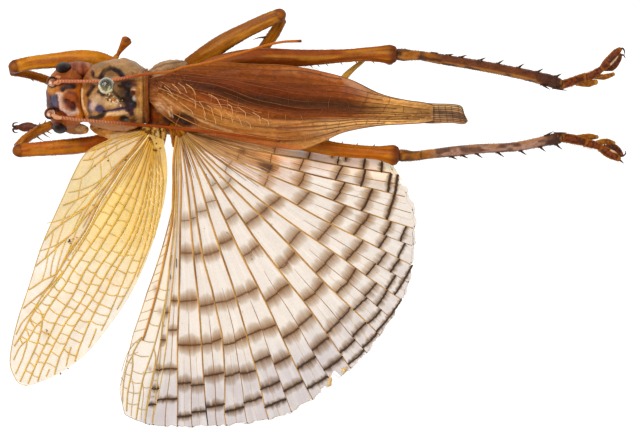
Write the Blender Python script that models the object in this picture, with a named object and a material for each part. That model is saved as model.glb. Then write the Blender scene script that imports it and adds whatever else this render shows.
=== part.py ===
"""A pinned raspy cricket with its left wings spread, on a small plain base.

The body lies along X with the head at -X, the back up and the left side at -Y.
Places are given on a plan drawing: u runs from head to tail and v from the right
side to the left side, in plan units of UNIT metres.  Heights z are millimetres
above the underside of the base.  The drawing is a view from VIEW metres above
the wings, so at() draws high parts slightly inwards.
"""

from math import cos, pi, radians, sin

import bmesh
import bpy
import numpy as np

# ---------------------------------------------------------------- sizes
MM = 0.001
UNIT = 0.09846e-3          # one plan unit, m
VIEW = 0.320               # height of the plan's eye point above the wings, m
WING_Z = 16.0              # height of the wings, mm
MID_U, MID_V = 320.0, 218.0
SHIFT_X, SHIFT_Y = 0.000374, -0.000050   # puts the plan's middle over the origin, m

BASE_Z = 3.0               # thickness of the base, mm
BASE_U = (102.0, 322.0)     # its ends on the plan
BASE_V = (66.0, 127.0)
BASE_ROUND = 12.0          # corner radius, plan units
PIN_R = 2.6                # half thickness of the pin, plan units
PIN_HEAD_R = 7.9
PIN_TOP_Z = 28.6
PIN_FOOT_Z = 1.0
BORE_R = 3.6
WING_T = 0.5               # thickness of wings, mm
HUB = (178.0, 128.0)       # root of the spread hind wing
BODY_V = 97.0              # the body's midline on the plan
HIND_WING_FOLDS = 26

for old in list(bpy.data.objects):
    bpy.data.objects.remove(old)


# ---------------------------------------------------------------- materials
def material(name, colour, rough, metallic=0.0):
    mat = bpy.data.materials.new(name)
    mat.use_nodes = True
    shader = mat.node_tree.nodes["Principled BSDF"]
    shader.inputs["Base Color"].default_value = (*colour, 1.0)
    shader.inputs["Roughness"].default_value = rough
    shader.inputs["Metallic"].default_value = metallic
    mat.diffuse_color = (*colour, 1.0)
    return mat


CUTICLE = material("cuticle", (0.36, 0.13, 0.03), 0.35)
AMBER = material("leg_amber", (0.50, 0.20, 0.04), 0.35)
DARK = material("leg_dark", (0.13, 0.045, 0.02), 0.35)
EYE = material("eye", (0.03, 0.012, 0.01), 0.25)
ANTENNA = material("antenna", (0.52, 0.17, 0.05), 0.45)
TEGMEN = material("tegmen_brown", (0.33, 0.13, 0.05), 0.4)
YELLOW = material("tegmen_yellow", (0.78, 0.56, 0.22), 0.4)
MEMBRANE = material("membrane", (0.75, 0.66, 0.58), 0.3)
STEEL = material("pin_steel", (0.35, 0.34, 0.25), 0.3, 0.6)
PAINT = material("base_paint", (0.86, 0.86, 0.85), 0.5)


# ---------------------------------------------------------------- helpers
def at(u, v, z):
    """A place in metres, from the plan and a height in millimetres."""
    k = (VIEW - (z - WING_Z) * MM) / VIEW
    return np.array([(u - MID_U) * UNIT * k + SHIFT_X, (MID_V - v) * UNIT * k + SHIFT_Y, z * MM])


def smooth(rows, count):
    """A smooth curve through the rows, read at count even steps."""
    rows = np.array(rows, float)
    gaps = np.linalg.norm(np.diff(rows[:, :3] * [1, 1, 10], axis=0), axis=1)
    t = np.concatenate([[0.0], np.cumsum(gaps)])
    last = len(rows) - 1
    slope = [(rows[min(i + 1, last)] - rows[max(i - 1, 0)]) / (t[min(i + 1, last)] - t[max(i - 1, 0)]) for i in range(last + 1)]
    out = []
    for q in np.linspace(0.0, t[-1], count):
        i = min(int(np.searchsorted(t, q, side="right")) - 1, last - 1)
        h = t[i + 1] - t[i]
        x = (q - t[i]) / h
        out.append(
            (2 * x**3 - 3 * x**2 + 1) * rows[i]
            + (x**3 - 2 * x**2 + x) * h * slope[i]
            + (3 * x**2 - 2 * x**3) * rows[i + 1]
            + (x**3 - x**2) * h * slope[i + 1]
        )
    return np.array(out)


def along(x, xs, ys):
    """A value read from a short table."""
    return float(np.interp(x, xs, ys))


def ease(x):
    x = min(max(x, 0.0), 1.0)
    return x * x * (3 - 2 * x)


def make(name, verts, faces, mat, helper=False):
    """A mesh object with its faces turned out."""
    verts = np.array(verts, float)
    mesh = bpy.data.meshes.new(name)
    mesh.from_pydata(verts.tolist(), [], faces)
    body = bmesh.new()
    body.from_mesh(mesh)
    bmesh.ops.recalc_face_normals(body, faces=body.faces)
    if body.calc_volume(signed=True) < 0:
        bmesh.ops.reverse_faces(body, faces=body.faces)
    body.to_mesh(mesh)
    body.free()
    obj = bpy.data.objects.new(name, mesh)
    bpy.context.scene.collection.objects.link(obj)
    obj.data.materials.append(mat)
    mesh.shade_smooth()
    mesh.set_sharp_from_angle(angle=radians(45))
    if helper:
        obj.hide_render = True
        obj.display_type = "WIRE"
    return obj


def skin(rings, poles):
    """Verts and faces of a closed tube through rings, with a point at each end."""
    n = len(rings[0])
    verts = [p for ring in rings for p in ring] + list(poles)
    faces = []
    for i in range(len(rings) - 1):
        for j in range(n):
            a, b = i * n + j, i * n + (j + 1) % n
            faces.append((a, b, b + n, a + n))
    first, final = len(verts) - 2, len(verts) - 1
    last = (len(rings) - 1) * n
    for j in range(n):
        faces.append((first, (j + 1) % n, j))
        faces.append((final, last + j, last + (j + 1) % n))
    return verts, faces


def tube_shape(rows, count, sides, power=2.0, tip=(0.8, 0.8)):
    """A rounded body along rows of (u, v, z, half width, half height)."""
    path = smooth(rows, count)
    centre = np.array([at(*row[:3]) for row in path])
    run = np.gradient(centre, axis=0)
    run /= np.linalg.norm(run, axis=1)[:, None]
    side = np.array([0.0, -1.0, 0.0])
    rings = []
    ends = []
    for i, row in enumerate(path):
        flat = np.cross(run[i], (0, 0, 1.0))
        if np.linalg.norm(flat) > 0.35:
            side = flat if np.dot(flat, side) >= 0 or i == 0 else -flat
        side = side - np.dot(side, run[i]) * run[i]
        side /= np.linalg.norm(side)
        up = np.cross(side, run[i])
        steps = [(1.0, 0.0)]
        if i == 0:
            steps = [(0.72, -0.62 * tip[0]), (1.0, 0.0)]
            ends.append(centre[i] - run[i] * row[3] * UNIT * tip[0])
        if i == count - 1:
            steps = [(1.0, 0.0), (0.72, 0.62 * tip[1])]
            ends.append(centre[i] + run[i] * row[3] * UNIT * tip[1])
        for scale, push in steps:
            ring = []
            for j in range(sides):
                a = 2 * pi * j / sides
                c, s = cos(a), sin(a)
                r = (abs(c) ** power + abs(s) ** power) ** (-1 / power) * scale * UNIT
                ring.append(centre[i] + run[i] * push * row[3] * UNIT + side * r * c * row[3] + up * r * s * row[4])
            rings.append(ring)
    return skin(rings, ends)


def tube(name, rows, count, sides, mat, power=2.0, tip=(0.8, 0.8), helper=False):
    return make(name, *tube_shape(rows, count, sides, power, tip), mat, helper)


def ball(name, u, v, z, ru, rv, rz, mat, rings=6, sides=10, helper=False):
    """An ellipsoid: ru and rv in plan units, rz in millimetres."""
    centre = at(u, v, z)
    out = []
    for i in range(1, rings):
        a = pi * i / rings
        out.append([centre + np.array([ru * UNIT * sin(a) * cos(2 * pi * j / sides), rv * UNIT * sin(a) * sin(2 * pi * j / sides), -rz * MM * cos(a)]) for j in range(sides)])
    return make(name, *skin(out, [centre - [0, 0, rz * MM], centre + [0, 0, rz * MM]]), mat, helper)


def boolean(obj, other, operation):
    mod = obj.modifiers.new(other.name, "BOOLEAN")
    mod.operation = operation
    mod.object = other
    mod.solver = "EXACT"
    return obj


def plate(name, lines, mat):
    """A closed plate of thickness WING_T through lines of places (u, v, z)."""
    rows, cols = len(lines), len(lines[0])
    top = [at(u, v, z + WING_T / 2) for line in lines for u, v, z in line]
    low = [at(u, v, z - WING_T / 2) for line in lines for u, v, z in line]
    half = rows * cols
    faces = []
    for i in range(rows - 1):
        for j in range(cols - 1):
            a = i * cols + j
            quad = (a, a + 1, a + cols + 1, a + cols)
            faces.append(quad)
            faces.append(tuple(q + half for q in reversed(quad)))
    rim = [j for j in range(cols)] + [i * cols + cols - 1 for i in range(1, rows)]
    rim += [(rows - 1) * cols + j for j in range(cols - 2, -1, -1)] + [i * cols for i in range(rows - 2, 0, -1)]
    for k, a in enumerate(rim):
        b = rim[(k + 1) % len(rim)]
        faces.append((b, a, a + half, b + half))
    return make(name, top + low, faces, mat)


def spine_shape(root, point, thick, sides=4):
    """A straight thorn from root to point, two (u, v, z) places."""
    a, b = at(*root), at(*point)
    run = (b - a) / np.linalg.norm(b - a)
    side = np.cross(run, (0, 0, 1.0))
    side /= np.linalg.norm(side)
    up = np.cross(side, run)
    ring = [a + (side * cos(2 * pi * j / sides + 0.3) + up * sin(2 * pi * j / sides + 0.3)) * thick * UNIT for j in range(sides)]
    return skin([ring], [a - run * thick * UNIT * 0.5, b])


def joined(name, shapes, mat):
    verts, faces = [], []
    for vs, fs in shapes:
        faces += [tuple(q + len(verts) for q in f) for f in fs]
        verts += list(vs)
    return make(name, verts, faces, mat, helper=True)


# ---------------------------------------------------------------- head
def head():
    # height, middle u, reach forward, reach back, half width
    rows = [
        (9.6, 60, 8, 11, 15), (10.4, 61, 12, 16, 21), (11.6, 63, 15, 18, 25.5), (12.8, 65, 17.5, 19, 28.5),
        (14.0, 66, 19.5, 19, 31.5), (15.2, 67, 20.6, 19, 32), (16.2, 68, 19.5, 17, 29), (16.9, 69, 14.5, 13, 22), (17.3, 70, 7, 8, 12),
    ]
    rings = []
    for z, mid, front, back, half in rows:
        ring = []
        for j in range(18):
            a = 2 * pi * j / 18
            c, s = cos(a), sin(a)
            r = (abs(c) ** 2.3 + abs(s) ** 2.3) ** (-1 / 2.3)
            v = 98.0 + s * r * half
            u = mid + c * r * (back if c > 0 else front)
            ring.append(at(min(u, 78.6 + 7.5 * ((v - 96) / 34.0) ** 2), v, z))
        rings.append(ring)
    obj = make("head", *skin(rings, [at(61, 98, 9.5), at(70, 98, 17.4)]), CUTICLE)
    for side, (u, v, ru, rv) in {"right": (64, 69, 8.3, 6.6), "left": (60.4, 128, 7.6, 6.2)}.items():
        ball("eye_" + side, u, v, 14.7, ru, rv, 1.15, EYE)
        boolean(obj, ball("cut_eye_" + side, u, v, 14.7, ru + 0.9, rv + 0.9, 1.25, EYE, helper=True), "DIFFERENCE")
    for side, (u, v) in {"right": (51.5, 81.6), "left": (50.0, 113.5)}.items():
        boolean(obj, ball("cut_socket_" + side, u, v, 17.0, 6.2, 6.2, 0.62, EYE, helper=True), "DIFFERENCE")


head()
tube("mandibles", [(60.5, 98, 9.0, 12, 11), (60, 98, 8.5, 11, 10), (59, 98, 7.9, 7, 7)], 4, 12, DARK, power=2.4, tip=(0.25, 0.4))
tube("palp_right", [(73, 92, 8.7, 2.8, 2.8), (88, 82, 8.7, 2.8, 2.8), (103, 70, 9.3, 3, 3), (116, 57, 10.1, 3.6, 3.3), (122.5, 48, 10.7, 4.3, 3.6), (126.5, 41, 11.1, 3.4, 3)], 12, 8, AMBER)
tube("palp_left", [(73, 104, 8.7, 2.8, 2.8), (79, 112, 7.9, 2.8, 2.8), (77, 119, 7.0, 3, 3), (70, 124, 6.3, 3, 2.8)], 7, 8, AMBER)

tube("antenna_right", [(48.5, 81.8, 16.95, 3, 3), (51.7, 81.6, 17.05, 5, 5), (55.5, 81.2, 17.3, 3.4, 3.4), (62, 80.6, 17.7, 2.6, 2.6), (98, 81.2, 18.15, 2.6, 2.6), (115, 79.6, 18.1, 2.6, 2.6), (147, 74, 17.7, 2.6, 2.6), (182, 67, 17.5, 2.6, 2.6), (220, 59.3, 17.4, 2.6, 2.6), (261, 46.7, 17.4, 2.6, 2.6), (282, 42, 17.4, 2.6, 2.6), (298, 41, 17.4, 2.6, 2.6)], 26, 6, ANTENNA, tip=(0.7, 0.7))
tube("antenna_left", [(47, 113.3, 16.95, 3, 3), (50, 113.5, 17.05, 5, 5), (54, 115.5, 17.3, 3.4, 3.4), (62, 118, 17.5, 2.6, 2.6), (84, 120.3, 17.55, 2.6, 2.6), (126, 123.8, 17.3, 2.6, 2.6), (168, 127.3, 17.3, 2.6, 2.6), (199, 131, 17.4, 2.6, 2.6), (235, 135.5, 17.3, 2.6, 2.6), (261, 138.3, 17.2, 2.6, 2.6), (278.5, 141.2, 17.1, 2.6, 2.6)], 22, 6, ANTENNA, tip=(0.7, 0.7))


# ---------------------------------------------------------------- trunk
def saddle(name, u_ends, front_curve, table, power, mat, rings=10, sides=20):
    """A rounded block across the body; table rows: share of length, mid v, half width, mid z, rise, drop."""
    share = [row[0] for row in table]
    out = []
    for i in range(rings):
        t = i / (rings - 1)
        mid, half, zc, rise, drop = (along(t, share, [row[k] for row in table]) for k in (1, 2, 3, 4, 5))
        ring = []
        for j in range(sides):
            a = 2 * pi * j / sides
            c, s = cos(a), sin(a)
            r = (abs(c) ** power + abs(s) ** power) ** (-1 / power)
            v = mid + c * r * half
            start = u_ends[0] + front_curve * ((v - mid) / 34.0) ** 2
            ring.append(at(start + t * (u_ends[1] - start), v, zc + s * r * (rise if s > 0 else drop)))
        out.append(ring)
    return make(name, *skin(out, [at(u_ends[0] + 3.5, table[0][1], table[0][3]), at(u_ends[1] - 0.8, table[-1][1], table[-1][3])]), mat)


pronotum = saddle(
    "pronotum", (81.0, 147.3), 7.0,
    [(0, 95.5, 28, 14.4, 2.6, 2.2), (0.06, 95.5, 31, 14.4, 3.0, 2.5), (0.3, 95.0, 35.2, 14.4, 3.3, 3.0), (0.55, 94.5, 36.6, 14.4, 3.4, 3.0), (0.75, 95.0, 34.0, 14.4, 3.3, 3.0), (0.9, 95.5, 28.5, 14.3, 3.2, 2.8), (1, 96, 26.5, 14.3, 3.15, 2.7)],
    2.25, CUTICLE, rings=9, sides=20,
)
saddle(
    "pterothorax", (149.0, 178.5), 0.0,
    [(0, 97, 26, 13.4, 2.4, 2.6), (0.15, 97, 28, 13.4, 2.7, 2.8), (0.6, 97, 29.5, 13.4, 2.7, 2.9), (1, 97, 25.5, 13.2, 2.5, 2.6)],
    2.2, CUTICLE, rings=6, sides=18,
)
tube("abdomen_front", [(183.5, BODY_V, 12.9, 20, 23), (200, BODY_V, 12.6, 22.5, 27), (225, BODY_V, 12.3, 22.8, 29), (250, BODY_V, 12.2, 22.8, 29), (259, BODY_V, 12.2, 22.6, 29)], 7, 16, CUTICLE, tip=(0.08, 0.03))
tube("abdomen_rear", [(262, BODY_V, 12.2, 22.4, 28.8), (280, 96.7, 12.2, 22.2, 28), (305, 95.5, 12.3, 20.3, 25), (324, 94.5, 12.3, 16.5, 20), (332, 94, 12.3, 14, 17)], 7, 16, CUTICLE, tip=(0.03, 0.5))
tube("cercus_right", [(341, 80.5, 12.3, 3, 3), (346, 75.5, 12.1, 3.4, 3), (354, 68, 11.8, 2.8, 2.8), (362, 61.5, 11.5, 2.6, 2.6), (370, 54, 11.2, 2.5, 2.5)], 8, 8, AMBER)
tube("cercus_left", [(344, 99, 12.2, 3, 3), (354, 104, 12, 3, 2.8), (366, 109.5, 11.8, 2.6, 2.6)], 6, 8, AMBER)


# ---------------------------------------------------------------- wings
def tegmen_height(u, v):
    """The folded right wing is roofed: level over the back, falling to the right side."""
    ridge = along(u, (160, 230, 300, 433, 470), (92, 86, 90, 111, 113))
    fall = max(0.0, ridge - v) / 24.0
    return 16.75 - 0.95 * min(fall, 1.3) ** 1.3 - 0.012 * max(0.0, v - ridge) - 0.0018 * max(0.0, u - 300)


def strip(edge_a, edge_b, count, across, height):
    a, b = smooth([(*p, 0) for p in edge_a], count), smooth([(*p, 0) for p in edge_b], count)
    lines = []
    for p, q in zip(a, b):
        line = []
        for j in range(across):
            t = j / (across - 1)
            u, v = p[:2] * (1 - t) + q[:2] * t
            line.append((u, v, height(u, v, t)))
        lines.append(line)
    return lines


plate("tegmen_right", strip(
    [(160, 84), (176, 71), (195, 65), (219, 62.5), (250, 64), (286, 65.5), (319, 71), (350, 79.5), (381, 94), (405, 100), (424, 103), (432, 108)],
    [(160, 108), (172, 127), (197, 135), (240, 142), (275, 147), (301, 149.5), (322, 142), (343, 132.5), (376, 126), (405, 124), (424, 122.5), (432, 118)],
    15, 6, lambda u, v, t: tegmen_height(u, v)), TEGMEN)
plate("hindwing_right", strip(
    [(186, 92), (250, 84), (330, 91), (380, 100), (433, 104), (453, 104.3), (463, 107), (467.5, 114)],
    [(186, 110), (250, 118), (330, 117), (380, 119), (428, 122.5), (452, 122.8), (464, 123.5), (467.8, 121.5)],
    10, 4, lambda u, v, t: tegmen_height(u, v) - 0.72), TEGMEN)
plate("tegmen_left", strip(
    [(141, 134.5), (109, 141), (91, 149.6), (80, 161), (61.7, 200), (42, 245), (28, 289), (18, 319), (11.2, 348.7), (10.3, 366), (16, 380)],
    [(162, 139.5), (166.5, 158), (167, 179), (163.5, 204), (151.5, 246), (132, 291), (106.6, 329), (84, 355), (60, 372.6), (42, 381), (27, 386)],
    14, 4, lambda u, v, t: 16.05 + 0.45 * sin(pi * t) - 0.002 * (v - 134)), YELLOW)


def fan_angle(q, r):
    """Bearing of fold q (0 at the leg, 1 at the front edge) at distance r from the hub."""
    first = along(r, (0, 20, 54, 86, 125, 156, 177, 214), (30, 23, 16.6, 13.6, 11.6, 11.9, 11.3, 10.2))
    front = along(r, (0, 50, 80, 108, 137, 167, 210, 267), (100, 95.5, 94.3, 96.6, 98.8, 100.7, 102.3, 102.7))
    return first + (front - first) * q


def hind_wing():
    lines = []
    for i in range(HIND_WING_FOLDS + 1):
        q = i / HIND_WING_FOLDS
        end = 10.5 + 92.2 * q
        rim = along(end, (10, 20, 36, 52, 70, 84, 96, 100.5, 102.8), (214, 251, 281, 295, 307.5, 300, 298, 292, 266))
        line = []
        for t in (0.055, 0.2, 0.36, 0.52, 0.68, 0.84, 1.0):
            r = t * rim
            bearing = radians(fan_angle(q, r))
            sink = (1 - ease((bearing - radians(fan_angle(0, r))) / radians(24))) * ease(t / 0.3)
            fold = 0.16 * ease(t / 0.4) * (1 if i % 2 else -1) * ease(4 * q + 0.2)
            line.append((HUB[0] + r * cos(bearing), HUB[1] + r * sin(bearing), 15.35 - 2.1 * sink + fold))
        lines.append(line)
    plate("hindwing_left", lines, MEMBRANE)


hind_wing()


# ---------------------------------------------------------------- legs
def leg(name, coxa, femur, tibia, tarsus, claws, spines=(), counts=(7, 6, 7)):
    tube("coxa_" + name, coxa, 4, 8, CUTICLE)
    tube("femur_" + name, femur, counts[0], 10, AMBER, tip=(0.7, 0.8))
    shin = tube("tibia_" + name, tibia, counts[1], 8, DARK, tip=(0.6, 0.6))
    if spines:
        boolean(shin, joined("thorns_" + name, [spine_shape(a, b, 1.7) for a, b in spines], DARK), "UNION")
    foot = tube("tarsus_" + name, tarsus, counts[2], 6, DARK, tip=(0.6, 0.6))
    boolean(foot, joined("claws_" + name, [tube_shape(c, 3, 4, tip=(0.6, 1.2)) for c in claws], DARK), "UNION")


def thorns(shin, share, reach, side, lean, height=0.0):
    """Thorns at the given shares of a shin, on one side of it (+1 left, -1 right), leaning to its end."""
    path = smooth(shin, 41)
    out = []
    for s in share:
        i = min(int(round(s * 40)), 40)
        here = path[i]
        step = path[min(i + 1, 40)] - path[max(i - 1, 0)]
        run = step[:2] / np.linalg.norm(step[:2])
        cross = np.array([-run[1], run[0]]) * side
        root = here[:2] + cross * here[3] * 0.35
        point = here[:2] + cross * (here[3] + reach * 0.55) + run * reach * lean
        out.append(((root[0], root[1], here[2] + height), (point[0], point[1], here[2] + height + 0.06)))
    return out


TIBIA_HR = [(402.5, 54.3, 13.0, 6.2, 6), (445, 60.5, 12.9, 5.4, 5.4), (480, 65.5, 12.8, 5.3, 5.2), (519, 73, 12.7, 5.8, 5.4), (555, 83, 12.6, 5.2, 5)]
TIBIA_HL = [(403.5, 155.5, 13.0, 6, 6), (432, 154.7, 12.9, 5.1, 5.2), (458, 151.4, 12.9, 5.1, 5.2), (493, 149, 12.8, 5.1, 5.2), (519, 146, 12.7, 5.1, 5.2), (555, 138.7, 12.6, 5.4, 5.2)]
UPPER = (0.24, 0.34, 0.43, 0.55, 0.67, 0.79, 0.91)
LOWER = (0.37, 0.46, 0.56, 0.70, 0.84, 0.97)
TIBIA_FL = [(18, 146.5, 10.65, 4.4, 4.4), (24, 140.3, 10.2, 4.5, 4.5), (33.5, 133.6, 9.1, 4.6, 4.6), (42, 128.8, 8.2, 4.6, 4.6), (50, 125.5, 7.3, 4.6, 4.6)]
TIBIA_FR = [(12.5, 71.5, 10.6, 4.2, 4.2), (24, 73.4, 9.9, 4.1, 4.1), (44, 78.8, 8.4, 4.1, 4.1), (60, 85.5, 7.0, 4.1, 4.1)]

leg("fore_right",
    [(112, 84, 10.4, 6.5, 5.5), (114.5, 74.5, 10.55, 6, 5)],
    [(112, 62.2, 11.3, 5.8, 5.6), (98, 59.3, 11.45, 7.8, 7), (80, 58.3, 11.5, 8.4, 7.6), (56, 60.4, 11.6, 7.6, 7), (30, 63.5, 11.8, 6.9, 6.3), (15, 66.6, 12.0, 6.6, 6)],
    TIBIA_FR,
    [(64, 88.5, 6.3, 3.6, 3), (74, 92, 6.0, 4.4, 3), (84, 94, 5.8, 3.6, 3), (93, 95, 5.7, 4.4, 3)],
    [[(94, 93, 5.7, 2.4, 2.4), (99, 90.5, 5.6, 2, 2), (101, 87.5, 5.4, 1.2, 1.2)], [(94, 97, 5.7, 2.4, 2.4), (99, 99.5, 5.6, 2, 2), (101, 102.5, 5.4, 1.2, 1.2)]],
    thorns(TIBIA_FR, (0.45, 0.62, 0.8, 0.95), 7, 1, 0.7),
)
leg("fore_left",
    [(112, 110, 10.4, 6.5, 5.5), (113.5, 121, 10.55, 6, 5)],
    [(111, 134.5, 11.2, 5.8, 5.6), (98, 142.3, 11.35, 7.2, 7), (80, 145.5, 11.5, 8.1, 7.6), (60, 147.4, 11.6, 7.9, 7.2), (38, 149, 11.8, 7.2, 6.5), (20, 150.6, 12, 6.7, 6)],
    TIBIA_FL,
    [(48.5, 126.8, 6.35, 3.6, 3), (42, 127.6, 6.1, 4, 3), (35.5, 127.2, 6.0, 3.2, 2.8), (28, 127, 5.9, 4.6, 3.2), (22, 127.2, 5.8, 4, 3), (17, 127.2, 5.7, 2.2, 2.4)],
    [[(18, 126, 5.75, 2.2, 2.2), (13.8, 125.2, 5.65, 1.9, 1.9), (17.6, 122.6, 5.5, 1.1, 1.1)], [(18, 128.6, 5.75, 2.2, 2.2), (13.6, 130, 5.65, 1.9, 1.9), (17.2, 132.6, 5.5, 1.1, 1.1)]],
    thorns(TIBIA_FL, (0.5, 0.68, 0.86), 9, 1, 0.5) + thorns(TIBIA_FL, (0.62, 0.82), 7, -1, 0.7),
)
leg("mid_right",
    [(166, 88, 9.6, 7.5, 6), (181, 74.5, 10.6, 6.8, 6)],
    [(191.5, 61.5, 11.3, 6.0, 5.6), (212, 49.8, 12, 9.0, 7.6), (227, 40.5, 12.3, 8.8, 8), (246, 30.3, 12.6, 7.8, 7.2), (266, 20.8, 12.9, 7.4, 6.6), (279.5, 14.8, 13, 6.3, 6)],
    [(281, 21, 11.75, 4.8, 4.8), (274, 33.5, 10.9, 5.8, 5), (262, 50, 9.7, 5.4, 5), (246, 72, 7.9, 5, 4.8), (233, 89, 6.6, 4.5, 4.5)],
    [(230, 94, 6.1, 3.8, 3.2), (224, 102, 5.9, 4.6, 3.2), (217, 108, 5.7, 3.6, 3), (210, 112, 5.6, 4.4, 3)],
    [[(209, 110, 5.6, 2.4, 2.4), (204, 111, 5.5, 2, 2), (200, 109.5, 5.4, 1.2, 1.2)], [(211, 114, 5.6, 2.4, 2.4), (207, 118, 5.5, 2, 2), (203, 119.5, 5.4, 1.2, 1.2)]],
)
leg("mid_left",
    [(166, 107, 9.6, 7.5, 6), (174, 121, 10.2, 6.8, 6)],
    [(183.5, 131.5, 10.0, 6.4, 5.6), (205, 142, 10.0, 9, 7), (228, 149.5, 10.4, 8.4, 7), (250, 157.5, 11.1, 7.4, 6.6), (266, 163.3, 11.7, 7, 6.4), (273, 166, 11.9, 6.2, 6)],
    [(271.5, 158.5, 10.5, 4.6, 4.6), (262, 140, 9.3, 5, 4.8), (255, 118, 7.8, 4.8, 4.6), (251, 101, 6.6, 4.5, 4.5)],
    [(251, 95, 6.1, 3.8, 3.2), (254.5, 86, 5.9, 4.6, 3.2), (259, 79, 5.7, 3.6, 3), (264, 73, 5.6, 4.4, 3)],
    [[(263, 72, 5.6, 2.4, 2.4), (264, 67, 5.5, 2, 2), (268, 63.5, 5.4, 1.2, 1.2)], [(266, 74.5, 5.6, 2.4, 2.4), (271, 72, 5.5, 2, 2), (276, 72, 5.4, 1.2, 1.2)]],
)
leg("hind_right",
    [(186.5, 86, 9.2, 7.0, 5.8), (194, 78, 10.0, 6.6, 6)],
    [(203, 69.0, 12.3, 6.2, 9), (217, 64.3, 12.8, 8.2, 15.0), (239, 60.0, 13.0, 9.8, 18.0), (262, 58.2, 13, 10.2, 18), (300, 58.0, 13.1, 8.4, 14), (345, 55.5, 13.2, 6.6, 9.5), (375, 54, 13.2, 7.4, 8.5), (389, 54.4, 13.2, 8.8, 8.5)],
    TIBIA_HR,
    [(564, 84.6, 12.3, 4.9, 3.5), (576, 80.5, 12.1, 4.8, 3.4), (586, 78.8, 11.9, 6, 3.2), (594, 76, 11.8, 4.4, 3), (602, 69, 11.7, 4.6, 3), (609, 62.5, 11.7, 6, 3), (616.5, 54.5, 11.7, 5, 3)],
    [[(616, 53, 11.7, 2.6, 2.4), (620.5, 49.8, 11.6, 2.2, 2), (623, 53.5, 11.4, 1.3, 1.3)], [(618, 57, 11.7, 2.6, 2.4), (622.5, 57, 11.6, 2, 2), (624, 60.5, 11.4, 1.2, 1.2)]],
    thorns(TIBIA_HR, UPPER, 8, -1, 0.9) + thorns(TIBIA_HR, (0.97,), 8, 1, 0.9),
    counts=(11, 8, 11),
)
leg("hind_left",
    [(186.5, 108, 9.2, 7.0, 5.8), (193.5, 117, 10.0, 6.6, 6)],
    [(203, 125.2, 11.9, 6.4, 9), (217, 129.3, 12.5, 8.6, 15.5), (240, 132.3, 12.85, 9.9, 18.5), (262, 135.2, 13, 9.9, 18), (300, 140.7, 13.1, 8.8, 14), (331, 149.0, 13.15, 7.8, 10.5), (352, 151.8, 13.2, 7.1, 9), (378, 152.8, 13.2, 6.8, 8.5), (389, 154.2, 13.2, 9, 8.5)],
    TIBIA_HL,
    [(564, 138, 12.3, 5, 3.5), (576, 140.3, 12.1, 5.2, 3.4), (587, 141.5, 11.9, 6.2, 3.2), (595, 144.5, 11.8, 4.8, 3), (603, 148, 11.7, 5, 3), (610, 151.3, 11.7, 6, 3), (616.5, 155, 11.7, 4.6, 3)],
    [[(617, 154, 11.7, 2.6, 2.4), (622, 154.5, 11.6, 2, 2), (625, 151.5, 11.4, 1.2, 1.2)], [(615.5, 157.5, 11.7, 2.6, 2.4), (620, 160.5, 11.6, 2.2, 2), (623, 163.5, 11.4, 1.3, 1.3)]],
    thorns(TIBIA_HL, LOWER, 8, 1, 0.9) + thorns(TIBIA_HL, (0.97,), 8, -1, 0.9),
    counts=(11, 8, 11),
)


# ---------------------------------------------------------------- pin and base
def pin_line(z):
    """A place on the pin's leaning axis, in metres."""
    low, high = at(120, 99, 17.9), at(106, 85.6, 28.0)
    return low + (high - low) * (z - 17.9) / 10.1


def turned(name, stations, sides, mat, helper=False):
    """A body turned about the pin's axis; stations are (height, radius in plan units)."""
    axis = pin_line(20) - pin_line(0)
    axis /= np.linalg.norm(axis)
    side = np.cross(axis, (0, 1.0, 0))
    side /= np.linalg.norm(side)
    up = np.cross(axis, side)
    rings = [[pin_line(z) + (side * cos(2 * pi * j / sides) + up * sin(2 * pi * j / sides)) * r * UNIT for j in range(sides)] for z, r in stations]
    return make(name, *skin(rings, [pin_line(stations[0][0]), pin_line(stations[-1][0])]), mat, helper)


turned("pin", [
    (PIN_FOOT_Z, PIN_R), (PIN_TOP_Z - 1.5, PIN_R), (PIN_TOP_Z - 1.3, PIN_HEAD_R * 0.72), (PIN_TOP_Z - 0.95, PIN_HEAD_R * 0.96),
    (PIN_TOP_Z - 0.55, PIN_HEAD_R), (PIN_TOP_Z - 0.2, PIN_HEAD_R * 0.8), (PIN_TOP_Z, PIN_HEAD_R * 0.4),
], 12, STEEL)
boolean(pronotum, turned("cut_pronotum", [(8, BORE_R), (22, BORE_R)], 12, STEEL, helper=True), "DIFFERENCE")


def base():
    corners = [(BASE_U[1] - BASE_ROUND, BASE_V[0] + BASE_ROUND, -90), (BASE_U[1] - BASE_ROUND, BASE_V[1] - BASE_ROUND, 0),
               (BASE_U[0] + BASE_ROUND, BASE_V[1] - BASE_ROUND, 90), (BASE_U[0] + BASE_ROUND, BASE_V[0] + BASE_ROUND, 180)]
    rings = []
    for z, inset in ((0.0, 2.0), (0.25, 0.0), (BASE_Z - 0.35, 0.0), (BASE_Z, 3.5)):
        ring = []
        for u, v, turn in corners:
            for k in range(6):
                a = radians(turn + 18 * k)
                spot = at(u + (BASE_ROUND - inset) * cos(a), v + (BASE_ROUND - inset) * sin(a), 1.5)
                ring.append([spot[0], spot[1], z * MM])
        rings.append(ring)
    mid = at((BASE_U[0] + BASE_U[1]) / 2, (BASE_V[0] + BASE_V[1]) / 2, 1.5)
    obj = make("stand_base", *skin(rings, [[mid[0], mid[1], 0.0], [mid[0], mid[1], BASE_Z * MM]]), PAINT)
    boolean(obj, turned("cut_base", [(PIN_FOOT_Z - 0.1, BORE_R), (6, BORE_R)], 12, STEEL, helper=True), "DIFFERENCE")


base()
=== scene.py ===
"""Looks of the pinned raspy cricket: wings, legs, body, pin and base, in the part's own frame."""

from math import cos, pi, radians, sin, sqrt

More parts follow.
